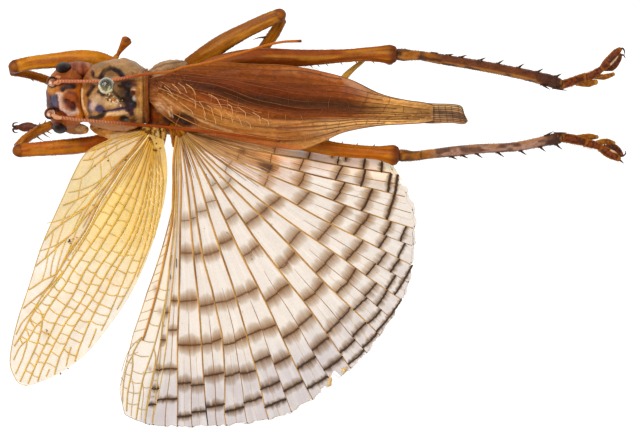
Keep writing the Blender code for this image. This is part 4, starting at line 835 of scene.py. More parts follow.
    for a, b in (((190, 98), (160, 82)), ((199, 101.7), (260, 116.5)), ((182, 99), (238, 107.3)), ((200, 93), (262, 113))):
        u = np.linspace(min(a[0], b[0]), max(a[0], b[0]), 40)
        v = np.interp(u, sorted((a[0], b[0])), [p[1] for p in sorted((a, b))])
        veins.add(on(u, v + 0.6 * np.sin(u * 0.3), 0.04), 0.024 * MM, lin(186, 126, 84))
    for pts in (edge_a, edge_b):
        p = smooth([(*q, 0) for q in pts], 260)
        veins.add(on(p[:, 0], p[:, 1], 0.0), 0.04 * MM, mixed(lin(150, 92, 46), lin(74, 46, 28), ease((p[:, 0] - 320) / 50)))
    kept(veins.done("tegmen_right_veins", VEIN), "tegmen_brown", "tegmen_right")

    place2 = strip_place(
        [(186, 92), (250, 84), (330, 91), (380, 100), (433, 103.6), (453, 104.3), (461.5, 106.4), (464, 113)],
        [(186, 110), (250, 118), (330, 117), (380, 119), (428, 123.2), (452, 122.8), (464, 124), (468.2, 121)])
    ns, nt = 260, 90
    S, T = np.meshgrid(np.linspace(0, 1, ns), np.linspace(0, 1, nt), indexing="ij")
    uv = place2(S, T)
    U, V = uv[..., 0], uv[..., 1]
    tip = ease((U - 425) / 12)
    pleat = 0.10 * np.abs(((T * 5.0) % 1.0) - 0.5) * 2
    Z = tegmen_height(U, V) - 0.72 + tip * (0.32 + pleat)
    colour = mixed(lin(186, 138, 88), lin(150, 104, 64), noise(T * 16, S * 6, 0, 2))
    colour = mixed(colour, lin(196, 156, 96), 0.8 * ease((0.30 - T) / 0.15))
    colour = mixed(colour, lin(58, 36, 22), 0.62 * stroke(U, V, [(426, 110), (440, 112.5), (455, 115.5), (466, 119)], 2.6, 0.9) * (0.5 + 0.7 * noise(U * 0.3, V * 0.5, 0, 9)))
    colour = mixed(colour, lin(176, 120, 74), 0.7 * stroke(U, V, [(433, 121), (450, 119.5), (462, 121.5)], 1.6, 0.8))
    colour = colour * (0.78 + 0.44 * noise(U * 0.35, V * 0.9, 0, 3))[..., None]
    kept(mesh_object("hindwing_right_fold", at(U, V, Z), grid_faces(ns, nt), with_alpha(np.clip(colour, 0, 1), 0.98), PARCH), "tegmen_brown", "hindwing_right")
    pleats = Tubes(5)
    for c in np.linspace(0.0, 1.0, 11):
        s = np.linspace(0.05, 0.995, 120)
        p = place2(s, c + 0 * s)
        tp = ease((p[:, 0] - 425) / 12)
        pleats.add(at(p[:, 0], p[:, 1], tegmen_height(p[:, 0], p[:, 1]) - 0.70 + tp * (0.33 + 0.10 * abs(((c * 5) % 1.0) - 0.5) * 2)), 0.028 * MM, mixed(lin(140, 90, 50), lin(62, 38, 24), ease((s - 0.75) / 0.2)), shade=0.3)
    for u in (438, 445, 451, 458):
        p = np.stack([np.linspace(u, u + 2.5, 8), np.linspace(105.5, 122, 8)], -1)
        pleats.add(at(p[:, 0], p[:, 1], tegmen_height(p[:, 0], p[:, 1]) - 0.28), 0.02 * MM, lin(84, 52, 30))
    kept(pleats.done("hindwing_right_pleats", VEIN), "tegmen_brown", "hindwing_right")


right_wings()

# ---------------------------------------------------------------- body and legs
TAU = 2 * pi


def unplan(P):
    k = (VIEW - (P[..., 2] - WING_Z * MM)) / VIEW
    return (P[..., 0] - SHIFT_X) / (UNIT * k) + MID_U, MID_V - (P[..., 1] - SHIFT_Y) / (UNIT * k)


def plain(*rgb):
    return lambda g: lin(*rgb) * np.ones(g["U"].shape + (3,))


class Shape:
    """Gathers rounded solids, each painted and carved by formulas, into one mesh."""

    def __init__(self):
        self.verts, self.faces, self.cols, self.count = [], [], [], 0

    def put(self, verts, faces, cols):
        verts = np.asarray(verts, float).reshape(-1, 3)
        self.verts.append(verts)
        self.cols.append(np.asarray(cols, float).reshape(-1, 3))
        self.faces += [tuple(int(q) + self.count for q in f) for f in faces]
        self.count += len(verts)

    def rings(self, R, poles, S, A, paint, relief=None, centre=None):
        """R (n, m, 3) rings from one pole to the other; S along and A around are (n, m)."""
        n, m = R.shape[:2]
        U, V = unplan(R)
        g = {"U": U, "V": V, "Z": R[..., 2] / MM, "S": S, "A": A}
        if relief is not None:
            mid = R.mean(1, keepdims=True) if centre is None else centre
            out = R - mid
            out /= np.linalg.norm(out, axis=-1, keepdims=True) + 1e-12
            R = R + out * (relief(g) * MM)[..., None]
        cols = paint(g)
        faces = grid_faces(n, m, True).tolist()
        first, final = n * m, n * m + 1
        faces += [(first, (j + 1) % m, j) for j in range(m)] + [(final, first - m + j, first - m + (j + 1) % m) for j in range(m)]
        self.put(np.concatenate([R.reshape(-1, 3), np.asarray(poles)]), faces, np.concatenate([cols.reshape(-1, 3), cols[0].mean(0)[None], cols[-1].mean(0)[None]]))

    def tube(self, rows, count, sides, paint, power=2.0, tip=(0.8, 0.8), relief=None, caps=6):
        path = smooth(rows, count)
        centre = at(path[:, 0], path[:, 1], path[:, 2])
        run = np.gradient(centre, axis=0)
        run /= np.linalg.norm(run, axis=1)[:, None]
        side, sides_at = np.array([0.0, -1.0, 0.0]), []
        for i in range(count):
            flat = np.cross(run[i], (0, 0, 1.0))
            if np.linalg.norm(flat) > 0.35:
                side = flat if np.dot(flat, side) >= 0 or i == 0 else -flat
            side = side - np.dot(side, run[i]) * run[i]
            side = side / np.linalg.norm(side)
            sides_at.append(side)
        side = np.array(sides_at)
        up = np.cross(side, run)
        up *= np.where(up[:, 2:] < 0, -1.0, 1.0)
        k = np.arange(1, caps) * pi / 2 / caps
        grow = np.concatenate([np.sin(k), np.ones(count), np.sin(k[::-1])])
        push = np.concatenate([-np.cos(k) * tip[0], np.zeros(count), np.cos(k[::-1]) * tip[1]])
        idx = np.concatenate([np.zeros(caps - 1, int), np.arange(count), np.full(caps - 1, count - 1)])
        a = TAU * np.arange(sides) / sides
        c, s = np.cos(a), np.sin(a)
        r = (np.abs(c) ** power + np.abs(s) ** power) ** (-1 / power) * UNIT
        w, h = path[idx, 3], path[idx, 4]
        mid = centre[idx] + run[idx] * (push * w * UNIT)[:, None]
        R = mid[:, None] + side[idx][:, None] * ((r * c)[None] * (w * grow)[:, None])[..., None] + up[idx][:, None] * ((r * s)[None] * (h * grow)[:, None])[..., None]
        poles = [centre[0] - run[0] * path[0, 3] * UNIT * tip[0], centre[-1] + run[-1] * path[-1, 3] * UNIT * tip[1]]
        S = np.broadcast_to((idx / (count - 1))[:, None], (len(idx), sides))
        A = np.broadcast_to(a[None], (len(idx), sides))
        self.rings(R, poles, S, A, paint, relief, mid[:, None])

    def ball(self, u, v, z, ru, rv, rz, paint, rings=18, sides=28, relief=None, turn=0.0):
        centre = at(u, v, z)
        a, b = (np.arange(1, rings) * pi / rings)[:, None], (TAU * np.arange(sides) / sides)[None]
        x, y = ru * UNIT * np.sin(a) * np.cos(b), -rv * UNIT * np.sin(a) * np.sin(b)
        t = radians(turn)
        R = np.stack([x * cos(t) + y * sin(t), -x * sin(t) + y * cos(t), -rz * MM * np.cos(a) + 0 * b], -1) + centre
        self.rings(R, [centre - [0, 0, rz * MM], centre + [0, 0, rz * MM]], a / pi + 0 * b, b + 0 * a, paint, relief, centre)

    def done(self, name, mat, gain=0.84, rich=1.15):
        cols = np.concatenate(self.cols)
        grey = cols.mean(1, keepdims=True)
        cols = (grey + (cols - grey) * rich) * gain
        return mesh_object(name, np.concatenate(self.verts), self.faces, with_alpha(np.clip(cols, 0.002, 1), 1.0), mat)


def spike(tubes, root, point, thick, colour, bend=0.12, steps=7):
    """A thorn from root to point, two (u, v, z) places, a little curved."""
    a, b = at(*root), at(*point)
    t = np.linspace(0, 1, steps)[:, None]
    bow = np.cross(b - a, (0, 0, 1.0)) * bend * np.sin(pi * t)
    tone = mixed(np.asarray(colour) * 0.75, np.asarray(colour) * 1.25, t[:, 0])
    tubes.add(a + (b - a) * t + bow, np.interp(t[:, 0], (0, 0.15, 1), (1.25, 0.9, 0.12)) * thick * UNIT, tone)


def layered(base, marks):
    """Paint made of a base colour and marks of (cover, colour)."""
    def paint(g):
        U, V = g["U"], g["V"]
        col = base(g)
        for cover, rgb, much in marks:
            col = mixed(col, lin(*rgb), np.clip(cover(U, V), 0, 1) * much)
        return col
    return paint


def spot(u, v, ru, rv, rgb, much=0.9, turn=0.0, soft=0.35):
    return (lambda U, V: blob(U, V, u, v, ru, rv, turn, soft), rgb, much)


def line(points, width, rgb, much=0.9, soft=0.5):
    return (lambda U, V: stroke(U, V, points, width, soft), rgb, much)


EYE = surface("eye", rough=0.45, coat=0.0, bump=0.4, scale=14000, grain=0.3, tone=0.15, spec=0.12)
HORN = surface("antenna", rough=0.42, coat=0.0, bump=0.3, scale=14000, grain=0.15, tone=0.12, spec=0.1)


# head
def head():
    rows = np.array([
        (9.6, 60, 8, 11, 15), (10.4, 61, 12, 16, 21), (11.6, 63, 15, 18, 25.5), (12.8, 65, 17.5, 19, 28.5),
        (14.0, 66, 19.5, 19, 31.5), (15.2, 67, 20.6, 19, 32), (16.2, 68, 19.5, 17, 29), (16.9, 69, 14.5, 13, 22), (17.3, 70, 7, 8, 12), (17.42, 70, 1, 1, 1)], float)
    t = np.concatenate([[0], np.cumsum(np.hypot(np.diff(rows[:, 0]) * 10, np.diff(rows[:, 2:].mean(1))))])
    q = np.linspace(0, t[-1], 110)
    z, mid, front, back, half = (np.interp(q, t, rows[:, k]) for k in range(5))
    for arr in (z, mid, front, back, half):
        arr[2:-2] = np.convolve(arr, np.ones(5) / 5, "valid")
    a = TAU * np.arange(160) / 160
    c, s = np.cos(a)[None], np.sin(a)[None]
    r = (np.abs(c) ** 2.3 + np.abs(s) ** 2.3) ** (-1 / 2.3)
    V = 98.0 + s * r * half[:, None]
    U = mid[:, None] + c * r * np.where(c > 0, back[:, None], front[:, None])
    U = np.minimum(U, np.interp(z, (16.0, 16.9), (85.5, 79.8))[:, None] + 11 * ((V - 97) / 31.0) ** 2)
    R = at(U, V, z[:, None])

    def relief(g):
        U, V, Z = g["U"], g["V"], g["Z"]
        top = ease((Z - 14) / 2.0)
        d = 0.10 * stroke(U, V, [(59, 96), (60, 102), (63, 108.5), (69, 112.5), (73, 111)], 2.6, 0.9)
        d -= 0.16 * stroke(U, V, [(61, 90), (64, 86), (74, 85.5)], 2.6, 0.9) + 0.16 * stroke(U, V, [(56, 110), (60, 113.5), (64, 116)], 2.4, 0.9)
        d -= 0.15 * blob(U, V, 66.5, 102, 3.2, 2.8) + 0.17 * blob(U, V, 73.5, 106, 3.8, 3.6) - 0.10 * blob(U, V, 72, 96, 6, 4.5, 0, 0.8)
        d += 0.10 * blob(U, V, 54.5, 101, 3.6, 5.6, 0, 0.8) + 0.12 * blob(U, V, 52, 91, 5, 4.5, 0, 0.9)
        d += 0.06 * blob(U, V, 50, 98, 3, 8) - 0.10 * stroke(U, V, [(77, 80), (78, 98), (77, 116)], 1.0, 0.9)
        d -= 0.12 * stroke(U, V, [(76, 62), (72, 78)], 1.0, 0.9) + 0.10 * stroke(U, V, [(64, 122), (66, 132)], 1.0, 0.9)
        return d * top + 0.09 * (noise(U * 0.35, V * 0.35, Z * 2, 2) - 0.5) + 0.035 * (noise(U * 1.3, V * 1.3, Z * 6, 3) - 0.5)

    paint = layered(lambda g: mixed(lin(122, 60, 30), lin(164, 96, 54), noise(g["U"] * 0.16, g["V"] * 0.16, g["Z"] * 0.9, 4)) * np.ones(g["U"].shape + (1,)), [
        spot(52.5, 90, 6.5, 5.0, (186, 128, 76), 0.85, 0, 0.6), spot(60, 91.5, 5, 3.0, (168, 96, 44), 0.8), spot(63.5, 94, 5.5, 4.0, (176, 122, 76), 0.8, 0, 0.6),
        spot(81, 92, 6, 9, (178, 98, 34), 0.8, 0, 0.6), spot(78, 115, 9, 5, (206, 122, 40), 0.85, 0, 0.6), spot(70, 117.5, 9, 3.6, (196, 118, 44), 0.8, 0, 0.5), spot(56, 116, 4, 3, (150, 84, 40), 0.6),
        spot(49, 101, 3.6, 7.5, (92, 50, 46), 0.85, 0, 0.5), line([(59.4, 95), (60.4, 102), (63.4, 109), (69, 113.2), (76, 112)], 2.9, (214, 180, 160), 0.95, 0.6), line([(62, 109.5), (67, 113.4), (72, 114.5)], 1.4, (206, 158, 148), 0.8),
        spot(70.5, 100.5, 8.0, 8.6, (124, 58, 24), 0.92, 20, 0.4), spot(71.5, 97.5, 3.0, 2.6, (150, 78, 36), 0.7, 0, 0.7), line([(69, 93), (76, 95), (79, 102)], 1.6, (104, 46, 18), 0.7),
        spot(66.9, 101.6, 3.6, 2.9, (48, 14, 10), 0.97), spot(73.6, 106.6, 3.6, 4.2, (46, 14, 10), 0.97), line([(67, 102), (70, 106), (73, 107)], 1.6, (84, 30, 16), 0.85),
        # the bluish-grey spot at (55, 101) is a dark mark with a painted reflection on it
        spot(55.0, 101.0, 3.9, 6.6, (88, 84, 104), 0.97, 8), line([(51.6, 97), (52.0, 103), (55, 108)], 0.9, (50, 40, 48), 0.8), line([(57.6, 95.5), (58.8, 101), (58.4, 106.5)], 1.1, (66, 48, 54), 0.8),
        line([(47.2, 91), (46.7, 98), (48.5, 104.5)], 1.4, (70, 30, 30), 0.9), line([(61.8, 88.6), (64.5, 86.2), (69, 85.4), (74.4, 85.6)], 2.6, (34, 18, 20), 0.97), line([(56, 85), (62, 84)], 1.6, (110, 48, 22), 0.85),
        line([(52, 108.6), (56, 110), (60, 112.8), (65, 116)], 2.3, (40, 20, 22), 0.96), line([(60, 113), (66, 116.6), (74, 118)], 1.6, (120, 50, 22), 0.8),
        line([(57.5, 78), (72, 79.5), (84, 79.5)], 1.6, (112, 52, 28), 0.8), spot(62, 76, 6, 3, (128, 70, 40), 0.7), line([(64, 121.6), (86, 123.4)], 1.2, (176, 96, 50), 0.7)])
    S = Shape()
    S.rings(R, [at(61, 98, 9.5), at(70, 98, 17.43)], q[:, None] / q[-1] + 0 * U, a[None] + 0 * U, paint, relief)
    skin_cover = lambda g: mixed(lin(196, 150, 96), lin(150, 96, 50), noise(g["U"] * 0.4, g["V"] * 0.4, 0, 2))
    folds = lambda g: 0.07 * (noise(g["U"] * 0.6, g["V"] * 0.6, g["Z"]) - 0.5)
    S.tube([(66, 126.4, 14.0, 5.6, 11), (73, 128.0, 14.0, 6.2, 12), (80, 129.0, 13.9, 5.6, 11), (84.5, 129.6, 13.7, 4.2, 8)], 40, 40, layered(skin_cover, [
        line([(66, 131), (74, 133), (82, 133)], 1.6, (132, 74, 36), 0.7), line([(68, 124.5), (78, 125.6), (86, 126.6)], 1.2, (226, 190, 150), 0.8), spot(80, 129, 5, 2.6, (196, 158, 118), 0.6)]), relief=folds)
    S.ball(80, 98, 13.0, 12, 25, 2.4, plain(112, 58, 28))
    S.tube([(70, 69.5, 14.1, 7.0, 15), (77, 69.8, 14.3, 8.6, 17), (85, 70.6, 14.3, 8.8, 16.5), (92, 71.6, 14.2, 7.6, 14)], 50, 50, layered(lambda g: mixed(lin(136, 74, 46), lin(118, 66, 50), noise(g["U"] * 0.3, g["V"] * 0.3, 0, 3)), [
        line([(73.5, 62), (75, 77)], 1.2, (100, 50, 34), 0.7), line([(82.6, 62), (83.6, 77)], 1.0, (110, 44, 28), 0.75), line([(79, 63), (80, 76)], 1.4, (160, 104, 78), 0.6), line([(87, 62), (90, 69)], 1.6, (168, 124, 88), 0.6), line([(72, 78), (92, 79)], 1.6, (120, 56, 30), 0.7)]), relief=folds)
    kept(S.done("head_shell", HIDE), "cuticle", "head")
    S = Shape()
    dark = lambda g: mixed(lin(22, 15, 16), lin(46, 30, 27), noise(g["U"] * 0.5, g["V"] * 0.5, g["Z"], 5))
    facets = lambda g: 0.018 * np.cos(g["A"] * 34) * np.cos(g["S"] * pi * 22)
    S.ball(64.2, 69, 15.2, 8.4, 7.0, 1.75, dark, rings=60, sides=110, relief=facets, turn=4)
    S.ball(60.2, 127.0, 15.0, 7.6, 6.6, 1.7, layered(dark, [spot(58, 122.8, 3.6, 2.0, (112, 52, 46), 0.7, -30)]), rings=60, sides=110, relief=facets, turn=-6)
    kept(S.done("eyes", EYE), "eye", "eye_left", "eye_right")
    S = Shape()
    for u, v, w in ((51.9, 81.8, 5.6), (50.0, 113.6, 5.9)):      # cup of each feeler: a dark rim round a pale socket
        a, b = np.linspace(0, TAU, 40, endpoint=False), np.linspace(0, TAU, 14, endpoint=False)
        rad = w - 0.9 + 0.9 * np.cos(b)[None]
        U = u + rad * np.cos(a)[:, None]
        V = v + rad * np.sin(a)[:, None]
        ring = at(U, V, 16.75 + 0.30 * np.sin(b)[None] + 0.10 * np.sin(2 * a)[:, None])
        # painted light: a pale lit crescent on part of each rim's inner side
        lit = ease((np.sin(a + 0.5 - (0.9 if v < 100 else -1.2)) - 0.55) / 0.3)[:, None] * ease((-np.cos(b) + 0.2))[None]
        cols = mixed(mixed(lin(60, 34, 24), lin(120, 70, 44), ease(0.5 + 0.7 * np.sin(a * 2 + 1))[:, None] + 0 * b[None]), lin(236, 218, 196), 0.9 * lit)
        n, m = 40, 14
        f = [(i * m + j, i * m + (j + 1) % m, ((i + 1) % n) * m + (j + 1) % m, ((i + 1) % n) * m + j) for i in range(n) for j in range(m)]
        S.put(ring, f, cols)
        # the pale spot in each socket is a painted highlight
        S.ball(u, v, 16.62, w - 1.6, w - 1.6, 0.34, layered(plain(206, 150, 116), [spot(u + 0.8, v - 0.4, 2.2, 2.4, (120, 66, 48), 0.8), spot(u - 1.8, v + 1.2, 1.6, 1.4, (236, 206, 186), 0.8)]), relief=lambda g: 0.04 * (noise(g["U"] * 1.2, g["V"] * 1.2, 0) - 0.5))
    S.tube([(54.5, 83.4, 16.8, 1.8, 1.6), (58, 82.6, 17.1, 2.4, 2.2), (61, 81.4, 17.4, 1.8, 1.8)], 12, 16, plain(214, 140, 100))
    S.tube([(53, 115.4, 16.9, 2.0, 1.8), (56.5, 117.2, 17.2, 2.4, 2.2), (60.5, 118, 17.4, 1.7, 1.7)], 12, 16, plain(210, 150, 112))
    S.ball(59.5, 77.8, 16.3, 4.4, 2.6, 0.5, plain(196, 130, 84), turn=8)
    for rows, tone in (
        ([(58, 81.4, 17.35, 2.0, 2.0), (98, 81.2, 18.15, 1.75, 1.8), (115, 79.6, 18.1, 1.75, 1.8), (147, 74, 17.7, 1.7, 1.7), (170, 71.4, 17.55, 1.75, 1.7), (182, 67.6, 17.5, 1.7, 1.7), (206, 63.0, 17.4, 1.7, 1.7), (220, 59.3, 17.4, 1.7, 1.7), (240, 53.4, 17.4, 1.7, 1.7), (261, 46.7, 17.4, 1.65, 1.7), (282, 42, 17.4, 1.7, 1.7), (301, 41, 17.4, 1.9, 1.8)], 0),
        ([(57.5, 117.2, 17.3, 2.0, 2.0), (84, 120.3, 17.55, 1.9, 1.9), (126, 123.8, 17.3, 1.9, 1.9), (168, 127.3, 17.3, 1.8, 1.8), (199, 131, 17.4, 1.75, 1.8), (220, 132.6, 17.4, 1.7, 1.7), (235, 135.0, 17.3, 1.65, 1.7), (261, 138.3, 17.2, 1.6, 1.6), (280, 141.4, 17.1, 1.5, 1.5)], 1)):
        long = rows[-1][0] - rows[0][0]
        beads = long / 1.5
        bead = lambda g, beads=beads, tone=tone: 0.035 * np.cos(TAU * g["S"] * beads) * (1 - 0.6 * ease((g["S"] - 0.2) / 0.3))

        def cover(g, beads=beads, tone=tone):
            light = ease((g["S"] - 0.28) / 0.2) if tone == 0 else ease((g["S"] - 0.85) / 0.15)
            col = mixed(lin(164, 72, 34), lin(184, 104, 38), light) if tone == 0 else mixed(lin(148, 64, 20), lin(146, 74, 24), light)
            crest = 0.5 + 0.5 * np.cos(TAU * g["S"] * beads)
            # pale beads on the crests, on the feeler's upper side only: partly the beads' pale colour, partly painted
            # highlight
            col = mixed(col, lin(240, 170, 130), 0.75 * ease((crest - 0.3) / 0.6) * ease((0.34 - g["S"]) / 0.12) * ease(np.sin(g["A"]) + 0.2))
            col = mixed(col, lin(108, 44, 20), 0.5 * ease((0.35 - crest) / 0.35))
            return mixed(col, lin(110, 50, 26), ease((g["S"] - 0.975) / 0.02))
        S.tube([(p, q, h, (0.86 if p < 130 else 0.78) * x, (0.86 if p < 130 else 0.78) * y) for p, q, h, x, y in rows], int(beads * 6), 14, cover, relief=bead, tip=(0.5, 0.5))
    kept(S.done("feelers", HORN, 0.92, 1.05), "antenna", "antenna_left", "antenna_right")
    S = Shape()
    # painted light: each palp and mouthpart is lighter on its upper side
    amber_lit_top = lambda g: mixed(lin(150, 84, 34), lin(206, 140, 66), ease(np.sin(g["A"])) * 0.8)
    S.tube([(73, 92, 8.7, 2.4, 2.4), (88, 82, 8.7, 2.4, 2.4), (103, 70, 9.3, 2.5, 2.5)], 30, 16, amber_lit_top)
    S.tube([(104, 69, 9.35, 2.5, 2.5), (111, 62, 9.8, 2.3, 2.3), (117, 56, 10.1, 2.7, 2.5)], 20, 16, amber_lit_top)
    S.tube([(117.4, 55.6, 10.1, 1.8, 2.0), (119.6, 51.4, 10.5, 2.4, 2.4), (122.4, 47.0, 10.8, 3.5, 2.8), (124.8, 43.2, 11.05, 4.7, 3.0), (126.4, 40.8, 11.15, 5.5, 3.0), (127.4, 39.2, 11.15, 5.0, 2.8), (128.0, 38.3, 11.15, 3.6, 2.4)], 50, 24, layered(lambda g: mixed(lin(132, 70, 30), lin(176, 104, 50), noise(g["U"] * 0.5, g["V"] * 0.5, 0, 3)), [spot(128, 39.4, 5.0, 2.2, (84, 44, 26), 0.8, -35)]), tip=(0.5, 0.3))
    S.tube([(73, 104, 8.7, 2.4, 2.4), (79, 112, 7.9, 2.4, 2.4), (77, 119, 7.0, 2.6, 2.6), (70, 124, 6.3, 2.6, 2.4)], 30, 16, amber_lit_top)
    S.tube([(60.5, 98, 9.3, 12, 11), (60, 98, 8.5, 11, 10), (59, 98, 7.9, 6, 6)], 24, 48, plain(96, 46, 26), power=2.4, tip=(0.25, 0.4), relief=lambda g: -0.22 * ease((0.16 - np.abs(np.cos(g["A"]))) / 0.1) + 0.04 * (noise(g["U"], g["V"], g["Z"] * 3) - 0.5))
    S.ball(70, 98, 8.3, 7, 10, 0.9, plain(140, 80, 40))
    kept(S.done("mouthparts", HIDE), "leg_amber", "mandibles", "palp_left", "palp_right")


head()


def saddle(shape, u_ends, front_curve, table, power, paint, relief, rings=90, sides=150):
    share = [row[0] for row in table]
    x = np.linspace(0, 1, rings)
    cap = np.sin(np.minimum(1, np.minimum(x / 0.03, (1 - x) / 0.012) * 0.5 + 0.5) * pi / 2)
    mid, half, zc, rise, drop = (np.interp(x, share, [row[k] for row in table]) for k in (1, 2, 3, 4, 5))
    for arr in (half, zc, rise, drop):
        arr[3:-3] = np.convolve(arr, np.ones(7) / 7, "valid")
    a = TAU * np.arange(sides) / sides
    c, s = np.cos(a)[None], np.sin(a)[None]
    r = (np.abs(c) ** power + np.abs(s) ** power) ** (-1 / power)
    V = mid[:, None] + c * r * (half * cap)[:, None]
    start = u_ends[0] + front_curve * ((V - mid[:, None]) / 34.0) ** 2
    U = start + x[:, None] * (u_ends[1] - start)
    Z = zc[:, None] + s * r * np.where(s > 0, (rise * cap)[:, None], (drop * cap)[:, None])
    shape.rings(at(U, V, Z), [at(u_ends[0] + 2.5, table[0][1], table[0][3]), at(u_ends[1] - 0.8, table[-1][1], table[-1][3])], x[:, None] + 0 * U, a[None] + 0 * U, paint, relief)


